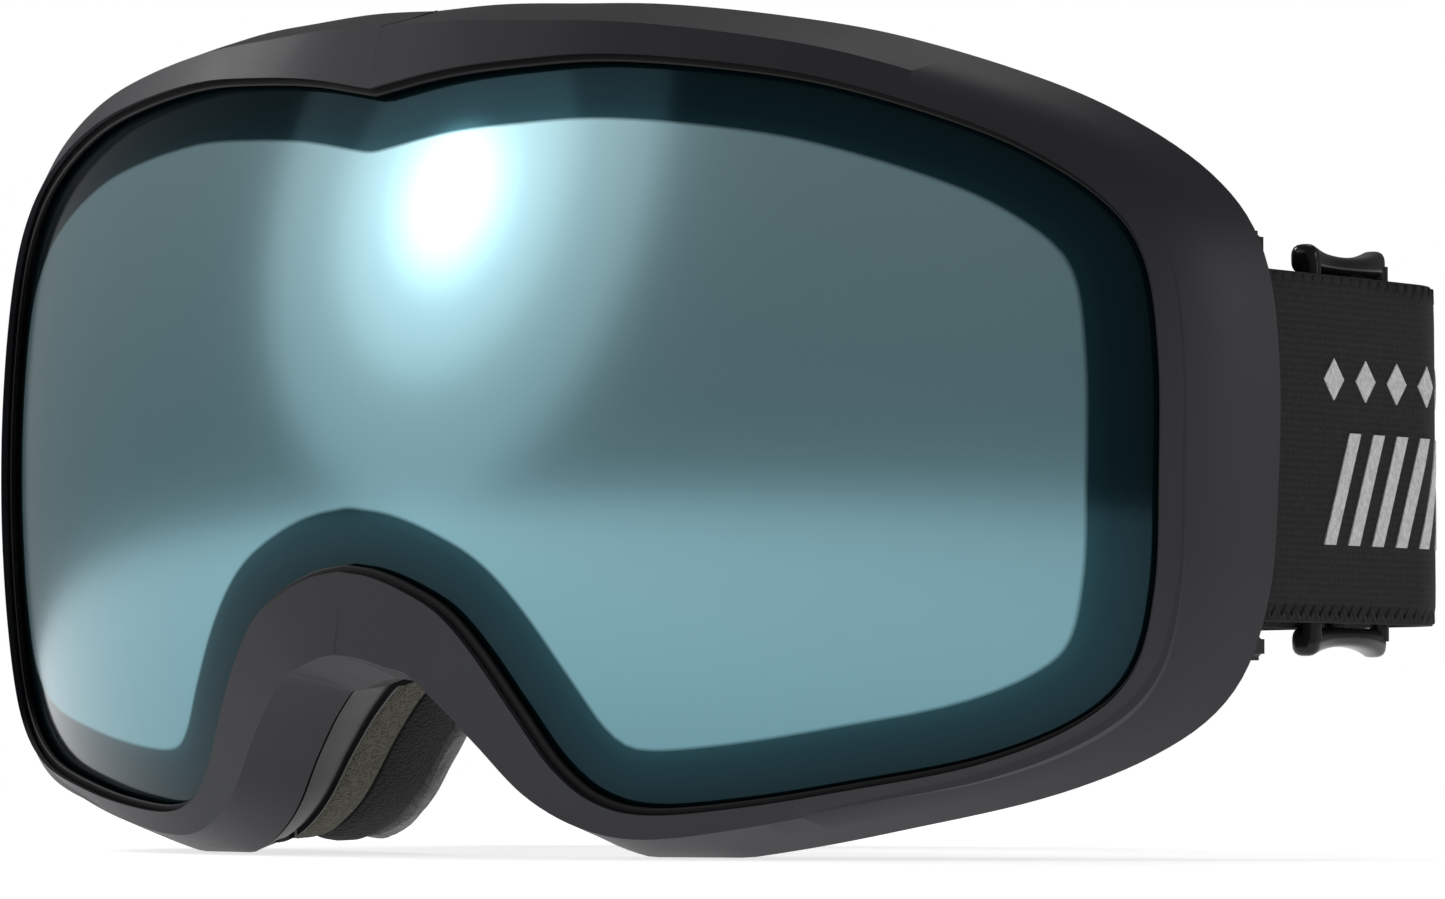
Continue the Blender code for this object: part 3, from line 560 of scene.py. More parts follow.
def lens_material():
    """Mirror-coated outer lens: teal inside, lighter towards the top as painted reflection, with the
    spacer's dark border seen through it.
    """
    m = Mat("teal_mirror", (0.14, 0.28, 0.33), 0.16, Metallic=0.8, Specular_IOR_Level=0.5)
    edge = m.node("ShaderNodeAttribute", attribute_name="edge_mm").outputs["Fac"]
    wobble = m.noise(26.0, 2.0)
    depth = m.math("ADD", edge, m.math("MULTIPLY", wobble, 0.2))
    inside = m.scale_range(depth, SPACER_WIDTH / MM - 0.1, SPACER_WIDTH / MM + 0.35)
    # Painted reflection: the mirror's teal grows lighter towards the lens's top, with a faint mottle.
    height = m.node("ShaderNodeSeparateXYZ")
    m.link(m.coords(), height.inputs["Vector"])
    painted_reflection_rise = m.scale_range(height.outputs["Z"], LENS_ORIGIN.z - HALF_HEIGHT, LENS_ORIGIN.z + HALF_HEIGHT)
    mirror = m.ramp(m.math("ADD", painted_reflection_rise, m.math("MULTIPLY", m.noise(14.0, 3.0), 0.12)),
                    [(0.05, (0.130, 0.275, 0.320)), (0.55, (0.200, 0.370, 0.420)),
                     (1.0, (0.330, 0.520, 0.570))])
    border = m.ramp(m.scale_range(edge, 0.0, SPACER_WIDTH / MM),
                    [(0.0, (0.004, 0.016, 0.021)), (0.75, (0.007, 0.032, 0.042)),
                     (1.0, (0.012, 0.050, 0.064))])
    mix = m.node("ShaderNodeMix", data_type="RGBA")
    m.link(inside, mix.inputs["Factor"])
    m.link(border, mix.inputs[6])
    m.link(mirror, mix.inputs[7])
    m.link(mix.outputs[2], m.shader.inputs["Base Color"])
    m.link(m.scale_range(inside, 0.0, 1.0, 0.10, 0.19), m.shader.inputs["Roughness"])
    return m.mat


def clear_pane_material():
    m = Mat("clear_pane", (0.72, 0.80, 0.82), 0.05, Transmission_Weight=0.92, IOR=1.49)
    haze = m.noise(60.0, 2.0)
    m.link(m.scale_range(haze, 0.3, 0.7, 0.03, 0.09), m.shader.inputs["Roughness"])
    return m.mat


def motif_material():
    m = Mat("white_thread", (0.62, 0.62, 0.61), 0.9, Sheen_Weight=0.2, Specular_IOR_Level=0.2)
    fuzz = m.noise(1400.0, 4.0, 0.8)
    m.link(m.ramp(fuzz, [(0.25, (0.36, 0.36, 0.36)), (0.7, (0.76, 0.76, 0.75))]),
           m.shader.inputs["Base Color"])
    m.bump(fuzz, 0.25 * MM)
    return m.mat


def metal_material():
    m = Mat("black_plated_steel", (0.10, 0.10, 0.105), 0.35, Metallic=0.9)
    brushed = m.noise(900.0, 3.0)
    m.link(m.scale_range(brushed, 0.3, 0.7, 0.28, 0.45), m.shader.inputs["Roughness"])
    m.bump(brushed, 0.02 * MM)
    return m.mat


CHARCOAL = moulded("charcoal_plastic", (0.024, 0.0247, 0.0295), 0.45, 0.010 * MM, 0.07)
SATIN_BLACK = moulded("satin_black_plastic", (0.011, 0.011, 0.012), 0.36, 0.008 * MM)
GLOSS_BLACK = moulded("gloss_black_plastic", (0.011, 0.011, 0.012), 0.20, 0.004 * MM)
RUBBER = moulded("black_rubber", (0.010, 0.010, 0.010), 0.55, 0.010 * MM)
SILICONE = moulded("clear_grey_silicone", (0.060, 0.060, 0.064), 0.38, 0.008 * MM)
OLIVE_FOAM = foam("olive_foam", (0.062, 0.060, 0.047), 2600.0)
BLACK_FOAM = foam("black_foam", (0.012, 0.012, 0.012), 2200.0)
VENT_MESH = foam("vent_foam", (0.014, 0.014, 0.014), 900.0)
FLEECE_MAT = fleece_material()
WEBBING = woven("black_webbing", (0.011, 0.010, 0.0115), (0.030, 0.028, 0.031))
EDGE_THREAD = woven("edge_thread", (0.014, 0.014, 0.015), (0.040, 0.040, 0.042))
TEAL = lens_material()
CLEAR = clear_pane_material()
WHITE_THREAD = motif_material()
STEEL = metal_material()


# ---- front: frame, gasket, lenses, spacer -----------------
RING = stations()
HALF_RING = len(RING) // 2


def stay_on_side(loop):
    """Sections close to the nose's crease meet at the middle and don't cross it."""
    side = 1 if loop[0].x > 0 else -1
    for p in loop:
        if p.x * side < 0:
            p.x = 0.0


def front_frame():
    """The faceted frame in front of and round the lens."""
    loops = []
    for s in RING:
        width, rise = s[4], s[5]
        loops.append([
            rim(s, 0.0, depth=LIP_FRONT),
            rim(s, width, back=-rise),
            rim(s, width + BEVEL_OUT * BREAK_OUT, back=BEVEL_BACK * BREAK_BACK),
            rim(s, width + BEVEL_OUT, back=BEVEL_BACK),
            rim(s, width + BEVEL_OUT - RIM_WALL, back=BEVEL_BACK + CLEARANCE / 2),
            rim(s, LENS_SEAT + CLEARANCE, depth=INNER_BACK),
            rim(s, LENS_SEAT + CLEARANCE, depth=LIP_BACK),
            rim(s, 0.0, depth=LIP_BACK)])
    for loop in loops:
        stay_on_side(loop)
    obj = loft("front_frame_shell", loops, CHARCOAL, True, creases=(0,))
    add_bevel(obj, FRAME_EDGE, 3, 33)
    apply_modifiers(obj)
    level = min(p.z for loop in loops for p in loop) + FOOT_CUT
    flat_feet(obj, level)
    return obj


def flat_feet(obj, level):
    """The two lowest lobes are flat where they stand."""
    floor = level + LENS_ORIGIN.z
    for v in obj.data.vertices:
        v.co.z = max(v.co.z, floor)


def ring_band(name, inner, outer, front, back, mat, bevel):
    """A closed band between two offsets and two depths of the lens edge."""
    loops = [[rim(s, inner, depth=front), rim(s, outer, depth=front),
              rim(s, outer, depth=back), rim(s, inner, depth=back)] for s in RING]
    return apply_modifiers(add_bevel(loft(name, loops, mat, True), bevel, 2))


# ---- rear frame, vents, foam ------------------------------
def rear_frame():
    """The tapering skirt with its flange, lugs and vents."""
    loops = []
    for s in RING:
        in_from_edge = s[4] + BEVEL_OUT - recess(s[0], s[1]) - SKIRT_WALL - 2.0 * MM
        inner = min(-FLANGE_WIDTH, in_from_edge)
        loops.append([
            skirt_front(s), skirt_wall(s, 0.5, -SKIRT_BELLY), skirt_wall(s, SEAT_FROM, 0.0),
            skirt_wall(s, SEAT_TO, -SEAT_STEP), skirt_wall(s, 1.0, -SEAT_STEP),
            skirt_wall(s, 1.0, SKIRT_WALL), skirt_wall(s, 0.14, SKIRT_WALL),
            rim(s, inner, depth=FLANGE_FRONT + FLANGE_THICK),
            rim(s, inner, depth=FLANGE_FRONT),
            rim(s, LENS_SEAT, depth=FLANGE_FRONT)])
    obj = loft("rear_frame_shell", loops, SATIN_BLACK, True)
    boolean(obj, lug_blocks(), "UNION")
    boolean(obj, vent_cutters(), "DIFFERENCE")
    obj.data.set_sharp_from_angle(angle=radians(28))
    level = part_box("rear_frame")[0][2]
    for v in obj.data.vertices:
        v.co.z = max(v.co.z, level)
    return obj


def block(bm, size, place):
    """A box of this size centred at this place."""
    verts = bmesh.ops.create_cube(bm, size=1.0)["verts"]
    bmesh.ops.scale(bm, vec=size, verts=verts)
    bmesh.ops.translate(bm, vec=place, verts=verts)
    return verts


def lug_blocks():
    """Ears above and below each bar, wider at the root."""
    place_z = STRAP_WIDTH / 2 + 3 * CLEARANCE + LUG_THICK / 2
    sides = (s for s in stations(2) if s[0] > HALF_WIDTH / 2)
    wall = min(sides, key=lambda s: abs(s[1] - place_z))
    inner = skirt_wall(wall, 0.3, 1.5 * SKIRT_WALL).x
    outer = BAR_X + BAR_RADIUS + LUG_PAST_BAR
    root = (skirt_front(wall).y - LUG_ROOT, BAR_Y + LUG_REACH / 2)
    tip = (BAR_Y - LUG_REACH, BAR_Y + LUG_REACH)
    bm = bmesh.new()
    for side in (-1, 1):
        for end in (-1, 1):
            verts = block(bm, (1, 1, LUG_THICK), (2 * side, 0, end * place_z))
            for v in verts:
                at_tip = abs(v.co.x) > 2
                v.co.y = (tip if at_tip else root)[v.co.y > 0]
                v.co.x = side * (outer if at_tip else inner)
            edges = {e for v in verts for e in v.link_edges}
            bmesh.ops.bevel(bm, geom=list(edges), offset=LUG_EDGE, segments=3, affect="EDGES")
    return finish_mesh("lugs", bm, SATIN_BLACK)


def vent_cutters():
    """Blocks that cut the vents: three each side of the brow, two in each cheek."""
    bm = bmesh.new()
    step = STEPS / 2
    spots = [(int(k * step), BROW_VENT_LONG) for k in BROW_VENTS]
    spots += [(int(-k * step), BROW_VENT_LONG) for k in BROW_VENTS]
    spots += [(HALF_RING + int(-k * step), CHEEK_VENT_LONG) for k in CHEEK_VENTS]
    spots += [(HALF_RING + int(k * step), CHEEK_VENT_LONG) for k in CHEEK_VENTS]
    for spot, long in spots:
        verts = block(bm, (long, *VENT_SIZE),
                      skirt_wall(RING[spot % len(RING)], VENT_AT, SKIRT_WALL / 2))
        upright = [e for e in {e for v in verts for e in v.link_edges}
                   if e.calc_length() > 0.8 * VENT_SIZE[1]]
        bmesh.ops.bevel(bm, geom=upright, offset=VENT_CORNER, segments=5, affect="EDGES")
    return finish_mesh("vent_cutters", bm, SATIN_BLACK)


def foam_ring(name, front, back, width, mat, bulge, corner, ruffle, seed):
    """A foam layer: its walls swell between the glued faces, and its skin is uneven."""
    across, deep = 10, 7
    loops = []
    for k, s in enumerate(RING):
        a, b = face_edge(s, front), face_edge(s, back)
        ai, bi = inward(a, width), inward(b, width)
        loop = []
        for start, end, count, swell in ((a, b, deep, -bulge), (b, bi, across, 0.0),
                                         (bi, ai, deep, bulge), (ai, a, across, 0.0)):
            for i in range(count):
                t = i / count
                point = start.lerp(end, t)
                push = swell * sin(pi * t) if swell else 0.0
                lump = ruffle * sin(k * 0.83 + i * 1.9 + seed) * sin(k * 0.31 - i * 0.7 + seed)
                loop.append(inward(point, push + lump) if push + lump else point)
        loops.append(round_corners(loop, (0, deep, deep + across, 2 * deep + across), corner))
    return loft(name, loops, mat, True)


def round_corners(loop, corners, amount):
    """Pulls each corner of a cross-section in, so that the layer's edges are soft."""
    count = len(loop)
    out = list(loop)
    for c in corners:
        before, after = loop[c - 1], loop[(c + 1) % count]
        out[c] = loop[c].lerp((before + after) / 2, amount)
        for side in (-1, 1):
            i = (c + side) % count
            out[i] = loop[i].lerp((out[c] + loop[(i + side) % count]) / 2, amount * 0.35)
    return out


def vent_strip(name, picked):
    """Thin foam behind a row of vents."""
    near = SKIRT_WALL + 2 * CLEARANCE
    far = near + VENT_FOAM
    loops = [[skirt_wall(s, STRIP_FROM, near), skirt_wall(s, STRIP_TO, near),
              skirt_wall(s, STRIP_TO, far), skirt_wall(s, STRIP_FROM, far)] for s in picked]
    return apply_modifiers(add_bevel(loft(name, loops, VENT_MESH, False), 0.3 * MM, 2))


# ---- strap ------------------------------------------------
ALONG = Vector((-sin(LEAN), cos(LEAN), 0.0))
OUTWARD = Vector((cos(LEAN), sin(LEAN), 0.0))
LOOP_RADIUS = BAR_RADIUS + CLEARANCE + STRAP_THICK / 2
SIDE_START = Vector((BAR_X, BAR_Y, 0.0)) + OUTWARD * LOOP_RADIUS
SIDE_LENGTH = (STRAP_SIDE_END - SIDE_START.y) / ALONG.y
SLIDER_CENTRE = (SLIDER_Y - SIDE_START.y) / ALONG.y
FRONT_BAR_OUT = -(STRAP_THICK / 2 + CLEARANCE + SLIDER_BAR / 2)
MID_BAR_OUT = -(STRAP_THICK / 2 + 2 * CLEARANCE + SEWN_THICK + SLIDER_BAR / 2)
SEWN_RADIUS = SLIDER_BAR / 2 + CLEARANCE + SEWN_THICK / 2


def side_point(distance, out=0.0):
    return SIDE_START + ALONG * distance + OUTWARD * out


def turn_z(degrees, vector):
    return Matrix.Rotation(radians(degrees), 3, "Z") @ vector


def strap_half():
    """Centre line of the left half: round the bar, along the side, the corner, the rear."""
    bar = Vector((BAR_X, BAR_Y, 0.0))
    wrap = [bar + turn_z(a, OUTWARD * LOOP_RADIUS) for a in range(WRAP_FROM, 0, WRAP_STEP)]
    side = [side_point(SIDE_LENGTH * i / SIDE_POINTS) for i in range(SIDE_POINTS)]
    centre = side_point(SIDE_LENGTH, -STRAP_CORNER)
    corner = [centre + turn_z(a / 2, OUTWARD * STRAP_CORNER)
              for a in range(0, 2 * CORNER_TURN + 1, 5)]
    end = corner[-1]
    heading = turn_z(CORNER_TURN, ALONG)
    middle = Vector((0.0, STRAP_DEPTH, 0.0))
    reach = 0.4 * end.x
    guides = (end + heading * reach, middle + Vector((reach, 0.0, 0.0)))
    rear = []
    for i in range(1, REAR_POINTS + 1):
        t = i / REAR_POINTS
        rear.append(end * (1 - t) ** 3 + guides[0] * 3 * t * (1 - t) ** 2
                    + guides[1] * 3 * t * t * (1 - t) + middle * t ** 3)
    return wrap + side + corner + rear


HALF_PATH = strap_half()
BAND_PATH = HALF_PATH + [Vector((-p.x, p.y, p.z)) for p in HALF_PATH[-2::-1]]


def lengths(path):
    """Distance along the path at each of its points."""
    total, out = 0.0, [0.0]
    for a, b in zip(path, path[1:]):
        total += (b - a).length
        out.append(total)
    return out


def frame_at(path, i):
    """Point, heading and outward side of a level path at index i."""
    ahead = (path[min(i + 1, len(path) - 1)] - path[max(i - 1, 0)]).normalized()
    return path[i], ahead, Vector((ahead.y, -ahead.x, 0.0))


def ribbon(name, path, half, thick, mat, sag=0.0):
    """Webbing on edge along a level path: edges thinned and rounded, and a slight wave."""
    rows = 18
    profile = [(v / rows * 2 - 1, 1.0) for v in range(rows + 1)]
    profile += [(1 - v / rows * 2, -1.0) for v in range(rows + 1)]
    run = lengths(path)
    loops = []
    for i in range(len(path)):
        point, _, side = frame_at(path, i)
        loop = []
        for v, face in profile:
            near_edge = smooth((abs(v) - 0.86) / 0.12)
            flat = 1 - 0.30 * near_edge if abs(v) < 0.999 else 0.55
            wave = sag * sin(run[i] * 75.0) * v * abs(v)
            out = face * thick / 2 * flat + wave
            loop.append(point + side * out + Vector((0, 0, v * half)))
        loops.append(loop)
    around = [v * half for v, _ in profile] + [-half]
    return loft(name, loops, mat, False, uv_steps=(run, around))


def tube(name, points, radius, mat, resolution=2):
    """A thread or bar as a mesh tube through the points."""
    curve = bpy.data.curves.new(name, "CURVE")
    curve.dimensions = "3D"
    curve.bevel_depth = radius
    curve.bevel_resolution = resolution
    curve.use_fill_caps = True
    spline = curve.splines.new("POLY")
    spline.points.add(len(points) - 1)
    for target, p in zip(spline.points, points):
        target.co = (*(p + LENS_ORIGIN), 1.0)
    temp = bpy.data.objects.new(name + "_path", curve)
    bpy.context.scene.collection.objects.link(temp)
    graph = bpy.context.evaluated_depsgraph_get()
    mesh = bpy.data.meshes.new_from_object(temp.evaluated_get(graph))
    bm = bmesh.new()
    bm.from_mesh(mesh)
    bmesh.ops.remove_doubles(bm, verts=bm.verts, dist=0.01 * MM)
    bm.to_mesh(mesh)
    bm.free()
    bpy.data.objects.remove(temp, do_unlink=True)
    mesh.materials.clear()
    mesh.materials.append(mat)
    mesh.shade_smooth()
    obj = bpy.data.objects.new(name, mesh)
    bpy.context.scene.collection.objects.link(obj)
    return obj


def point_along(path, run, distance):
    """Point and side at a distance along a path."""
    i = int(np.searchsorted(run, distance)) - 1
    i = min(max(i, 0), len(path) - 2)
    t = (distance - run[i]) / (run[i + 1] - run[i])
    _, _, side_a = frame_at(path, i)
    _, _, side_b = frame_at(path, i + 1)
    return path[i].lerp(path[i + 1], t), side_a.lerp(side_b, t).normalized()


def edge_stitch(name, path, z, start, stop, out):
    """A zig-zag overlock along one edge of the strap."""
    run = lengths(path)
    points = []
    for k in range(int((stop - start) / STITCH_PITCH)):
        point, side = point_along(path, run, start + k * STITCH_PITCH)
        swing = STITCH_SWING if k % 2 else -STITCH_SWING
        points.append(point + side * out + Vector((0, 0, z + swing)))
    return tube(name, points, STITCH_RADIUS, EDGE_THREAD, 1)


def motif(name, path, start, stop):
    """Plain woven pattern: an even hatch of slanted bars under an even row of lozenges."""
    run = lengths(path)
    bm = bmesh.new()
    bm.loops.layers.uv.new("UVMap")

    def patch(corners, rows=1):
        """A thin raised patch between a left edge and a right edge, each low and high."""
        columns = 5
        (left_low, left_high), (right_low, right_high) = (map(Vector, edge) for edge in corners)
        skins = []
        for out in (STRAP_THICK / 2 + 0.14 * MM, STRAP_THICK / 2 - 0.25 * MM):
            grid = []
            for c in range(columns + 1):
                line = []
                for r in range(rows + 1):
                    left = left_low.lerp(left_high, r / rows)
                    right = right_low.lerp(right_high, r / rows)
                    u, z = left.lerp(right, c / columns)
                    point, side = point_along(path, run, u)
                    line.append(bm.verts.new(point + side * out + Vector((0, 0, z))))
                grid.append(line)
            skins.append(grid)
        top, low = skins
        for c in range(columns):
            for r in range(rows):
                bm.faces.new((top[c][r], top[c + 1][r], top[c + 1][r + 1], top[c][r + 1]))
                bm.faces.new((low[c][r], low[c][r + 1], low[c + 1][r + 1], low[c + 1][r]))
            bm.faces.new((top[c][0], low[c][0], low[c + 1][0], top[c + 1][0]))
            bm.faces.new((top[c][-1], top[c + 1][-1], low[c + 1][-1], low[c][-1]))
        for c in (0, columns):
            for r in range(rows):
                bm.faces.new((top[c][r], top[c][r + 1], low[c][r + 1], low[c][r]))

    for k in range(int((stop - start) / BAR_PITCH)):
        left = start + k * BAR_PITCH
        right = left + BAR_WIDE
        patch((((left, BAR_LOW), (left + BAR_LEAN, BAR_HIGH)),
               ((right, BAR_LOW), (right + BAR_LEAN, BAR_HIGH))), BAR_ROWS)
    for k in range(int((stop - start) / LOZENGE_PITCH)):
        left = start + k * LOZENGE_PITCH
        middle, right = left + LOZENGE_HALF, left + 2 * LOZENGE_HALF
        tall = ((middle, LOZENGE_Z - LOZENGE_HALF), (middle, LOZENGE_Z + LOZENGE_HALF))
        patch((((left, LOZENGE_Z), (left, LOZENGE_Z + LOZENGE_TIP)), tall))
        patch((tall, ((right, LOZENGE_Z), (right, LOZENGE_Z + LOZENGE_TIP))))
    bmesh.ops.remove_doubles(bm, verts=bm.verts, dist=0.002 * MM)
    return finish_mesh(name, bm, WHITE_THREAD)


def flip(path, side):
    """The path for the left (1) or right (-1) side."""
    return [Vector((p.x * side, p.y, p.z)) for p in path]


def slider_end(side, end):
    """Sections of a slider's glossy end: its top dips in the middle and its line sways."""
    reach = STRAP_WIDTH / 2 + CLEARANCE
    high = SLIDER_PROUD - CLEARANCE
    thick = (SLIDER_BAR + FRONT_BAR_OUT - MID_BAR_OUT) / 2
    rows = []
    for k in range(-14, 15):
        t = k / 14
        tall = high * (1 - SLIDER_DIP + SLIDER_DIP * t * t)
        out = (FRONT_BAR_OUT + MID_BAR_OUT) / 2 + SLIDER_SWAY * sin(pi * t)
        p = side_point(SLIDER_CENTRE + t * (SLIDER_LENGTH / 2 - SLIDER_DOME), out)
        middle = Vector((p.x * side, p.y, end * (reach + tall / 2)))
        across = Vector((OUTWARD.x * side, OUTWARD.y, 0.0))
        loop = []
        for i in range(24):
            a = 2 * pi * i / 24
            ca, sa = cos(a), sin(a)
            shape = (abs(ca) ** 3 + abs(sa) ** 3) ** (-1 / 3)
            loop.append(middle + across * (thick * 0.88 * shape * ca)
                        + Vector((0, 0, tall / 2 * shape * sa)))
        rows.append(loop)
    cap_in(rows)
    return rows


def slider(side, name):
    """A three-bar slider of glossy plastic with wavy, rounded ends."""
    body = bmesh.new()
    for end in (-1, 1):
        rings = [[body.verts.new(p) for p in loop] for loop in slider_end(side, end)]
        count = len(rings[0])
        for a, b in zip(rings, rings[1:]):
            for i in range(count):
                j = (i + 1) % count
                body.faces.new((a[i], a[j], b[j], b[i]))
        body.faces.new(rings[0])
        body.faces.new(rings[-1])
    obj = finish_mesh(name, body, GLOSS_BLACK, 60)
    bar_end = STRAP_WIDTH / 2 + CLEARANCE + 0.45 * (SLIDER_PROUD - CLEARANCE)
    half_run = SLIDER_LENGTH / 2 - SLIDER_BAR / 2
    bars = ((half_run, FRONT_BAR_OUT), (0.0, MID_BAR_OUT), (-half_run, FRONT_BAR_OUT))
    for along, out in bars:
        p = side_point(SLIDER_CENTRE + along, out)
        x = p.x * side
        bar = tube(name + "_bar", [Vector((x, p.y, z * bar_end)) for z in (-1, 0, 1)],
                   SLIDER_BAR / 2, GLOSS_BLACK, 4)
        boolean(obj, bar, "UNION")
    obj.data.materials.clear()
    obj.data.materials.append(GLOSS_BLACK)
    obj.data.shade_smooth()
    obj.data.set_sharp_from_angle(angle=radians(45))
    return obj


def cap_in(rows):
    """Adds shrinking sections at both ends of a swept bar, so that it ends in a dome."""
    for end in (0, -1):
        edge = rows[end]
        near = rows[1 if end == 0 else -2]
        centre = sum(edge, Vector()) / len(edge)
        ahead = (centre - sum(near, Vector()) / len(near)).normalized()
        made = []
        for turn in (30, 55, 75):
            shrink = cos(radians(turn))
            push = sin(radians(turn)) * SLIDER_BAR / 2
            made.append([centre + (p - centre) * shrink + ahead * push for p in edge])
        if end == 0:
            rows[:0] = made[::-1]
        else:
            rows.extend(made)


# ---- assembly ---------------------------------------------
def keep(piece, body, slot, *nodes):
    """Says which body a piece rides on and the CAD nodes it stands for; slot is not used."""
    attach(piece, body)
    if nodes:
        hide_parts(*nodes)
    return piece


def build_front():
    keep(front_frame(), "goggles", "charcoal_frame", "front_frame")
    gasket = ring_band("lens_gasket_lip", -GASKET_LIP, LENS_SEAT, GASKET_FRONT, GASKET_BACK,
                       RUBBER, 0.2 * MM)
    keep(gasket, "goggles", "gasket_rubber", "lens_gasket")
    keep(pane("mirror_lens", LENS_SEAT, 0.0, OUTER_BACK, TEAL), "goggles", "mirror_lens",
         "outer_lens")
    spacer = ring_band("pane_spacer", -SPACER_WIDTH, LENS_SEAT, SPACER_FRONT - 0.3 * MM,
                       SPACER_FRONT + SPACER_THICK + 0.2 * MM, BLACK_FOAM, 0.3 * MM)
    keep(spacer, "goggles", "spacer_foam", "lens_spacer")
    keep(pane("inner_pane", LENS_SEAT, INNER_FRONT, INNER_BACK, CLEAR), "goggles",
         "clear_pane", "inner_lens")


def build_rear():
    keep(rear_frame(), "goggles", "rear_plastic", "rear_frame")
    comfort_front = COMFORT_FOAM + FLEECE + CLEARANCE
    base = foam_ring("base_foam", FOAM_STACK - CLEARANCE, comfort_front + CLEARANCE / 4,
                     FOAM_WIDTH, OLIVE_FOAM, 0.35 * MM, 0.5, 0.05 * MM, 0.3)
    comfort = foam_ring("comfort_foam", comfort_front, FLEECE + CLEARANCE / 4,
                        FOAM_WIDTH + 1.0 * MM, BLACK_FOAM, 0.7 * MM, 0.6, 0.07 * MM, 1.7)
    fleece = foam_ring("face_fleece", FLEECE, 0.0, FOAM_WIDTH + 1.3 * MM, FLEECE_MAT,
                       0.5 * MM, 0.9, 0.16 * MM, 4.1)
    for piece, slot, node in ((base, "olive_foam", "foam_base_layer"),
                              (comfort, "black_foam", "foam_comfort_layer"),
                              (fleece, "fleece", "fleece_layer")):
        keep(piece, "goggles", slot, node)
    k = STEPS / 2
    near, far = (int(end * k) for end in CHEEK_STRIP)
    top = RING[-int(BROW_STRIP * k):] + RING[:int(BROW_STRIP * k)]
    left = RING[HALF_RING - far:HALF_RING - near]
    right = RING[HALF_RING + near:HALF_RING + far]
    for name, picked, node in (("brow_vent_foam", top, "top_vent_foam"),
                               ("cheek_vent_foam_left", left, "bottom_vent_foam_left"),
                               ("cheek_vent_foam_right", right, "bottom_vent_foam_right")):
        keep(vent_strip(name, picked), "goggles", "vent_mesh", node)


def build_strap():
    band = ribbon("strap_webbing", BAND_PATH, STRAP_WIDTH / 2, STRAP_THICK, WEBBING, 0.12 * MM)
    keep(band, "goggles", "webbing", "strap_band")
    run = lengths(BAND_PATH)
    first = run[WRAP_POINTS]
    last = run[-1] - first
    for name, z in (("upper", STRAP_WIDTH / 2 - 1.1 * MM), ("lower", 1.1 * MM - STRAP_WIDTH / 2)):
        stitch = edge_stitch("edge_stitch_" + name, BAND_PATH, z, first * 0.5,
                             run[-1] - first * 0.5, STRAP_THICK / 2 * 0.72)
        keep(stitch, "goggles", "webbing")
    for name, z in (("upper", STRAP_WIDTH / 4), ("lower", -STRAP_WIDTH / 4)):
        points = []
        for i in range(GRIP_STEPS + 1):
            u = run[-1] / 2 - GRIP_SPAN / 2 + GRIP_SPAN * i / GRIP_STEPS
            point, side = point_along(BAND_PATH, run, u)
            points.append(point - side * (STRAP_THICK / 2 + 0.35 * MM)
                          + Vector((0, 0, z + GRIP_WAVE * sin(u * GRIP_TURNS))))
        grip = tube("silicone_line_" + name, points, GRIP_RADIUS, SILICONE, 2)
        keep(grip, "goggles", "silicone", "silicone_grip_" + name)
    pattern = motif("woven_motif", BAND_PATH, first + 12.0 * MM, last - 22.0 * MM)
    keep(pattern, "goggles", "webbing")


def build_side(side):
    """Bar, strap return, sewn end and slider of the left (1) or right (-1) side."""
    name = "left" if side > 0 else "right"
    body = name + "_slider"
    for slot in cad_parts["strap_bar_" + name].material_slots:
        slot.material = STEEL
    bar = Vector((BAR_X, BAR_Y, 0.0))
    start = bar + turn_z(192, OUTWARD * LOOP_RADIUS) + ALONG * (CLEARANCE / 2)
    behind_bar = FRONT_BAR_OUT - SLIDER_BAR / 2 - CLEARANCE - STRAP_THICK / 2
    end = side_point(SLIDER_CENTRE - SEWN_RADIUS - SEWN_THICK / 2 + 0.4 * MM, behind_bar)
    path = flip([start.lerp(end, i / 16) for i in range(17)], side)
    back = ribbon("strap_return_web_" + name, path, STRAP_WIDTH / 2 + 0.5 * MM, STRAP_THICK * 0.95,
                  WEBBING)
    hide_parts("strap_return_" + name)
    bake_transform(back)
    centre = side_point(SLIDER_CENTRE, MID_BAR_OUT)
    turn = flip([centre + turn_z(a, OUTWARD * SEWN_RADIUS) for a in range(-70, 251, 8)], side)
    keep(ribbon("sewn_loop_" + name, turn, STRAP_WIDTH / 2, SEWN_THICK, WEBBING), body,
         "webbing", "sewn_end_" + name)
    keep(slider(side, "strap_slider_" + name), body, "slider_plastic", "slider_" + name)


# ---- stage, light and camera ------------------------------
SCALE = HALF_WIDTH / 80.0               # metres for each unit in which the view was measured
VIEW_AZIMUTH = radians(41.57)
VIEW_ELEVATION = radians(-2.144)
VIEW_DISTANCE = 800.0 * SCALE
FOCAL_SHARE = 5.368                      # focal length as a share of the picture's width
OBJECT_LEFT = radians(2.77)              # the lens's middle lies this far left of the view's
STUDIO_FILL = 0.19                       # light from all round; the backdrop itself is white
GLOW_X, GLOW_Z = 12.0 * MM, 27.0 * MM    # where the lens shows its softbox
SENSOR_MM = 36.0
FLOOR_RADIUS, FLOOR_GLOW = 0.9, 0.72
FLOOR_DROP = 0.0002                      # keeps the floor just clear of the feet


def lens_point(x, z):
    return Vector((x, lens_y(x, z), z)) + LENS_ORIGIN


def look(obj, target):
    obj.rotation_euler = (target - obj.location).to_track_quat("-Z", "Y").to_euler()


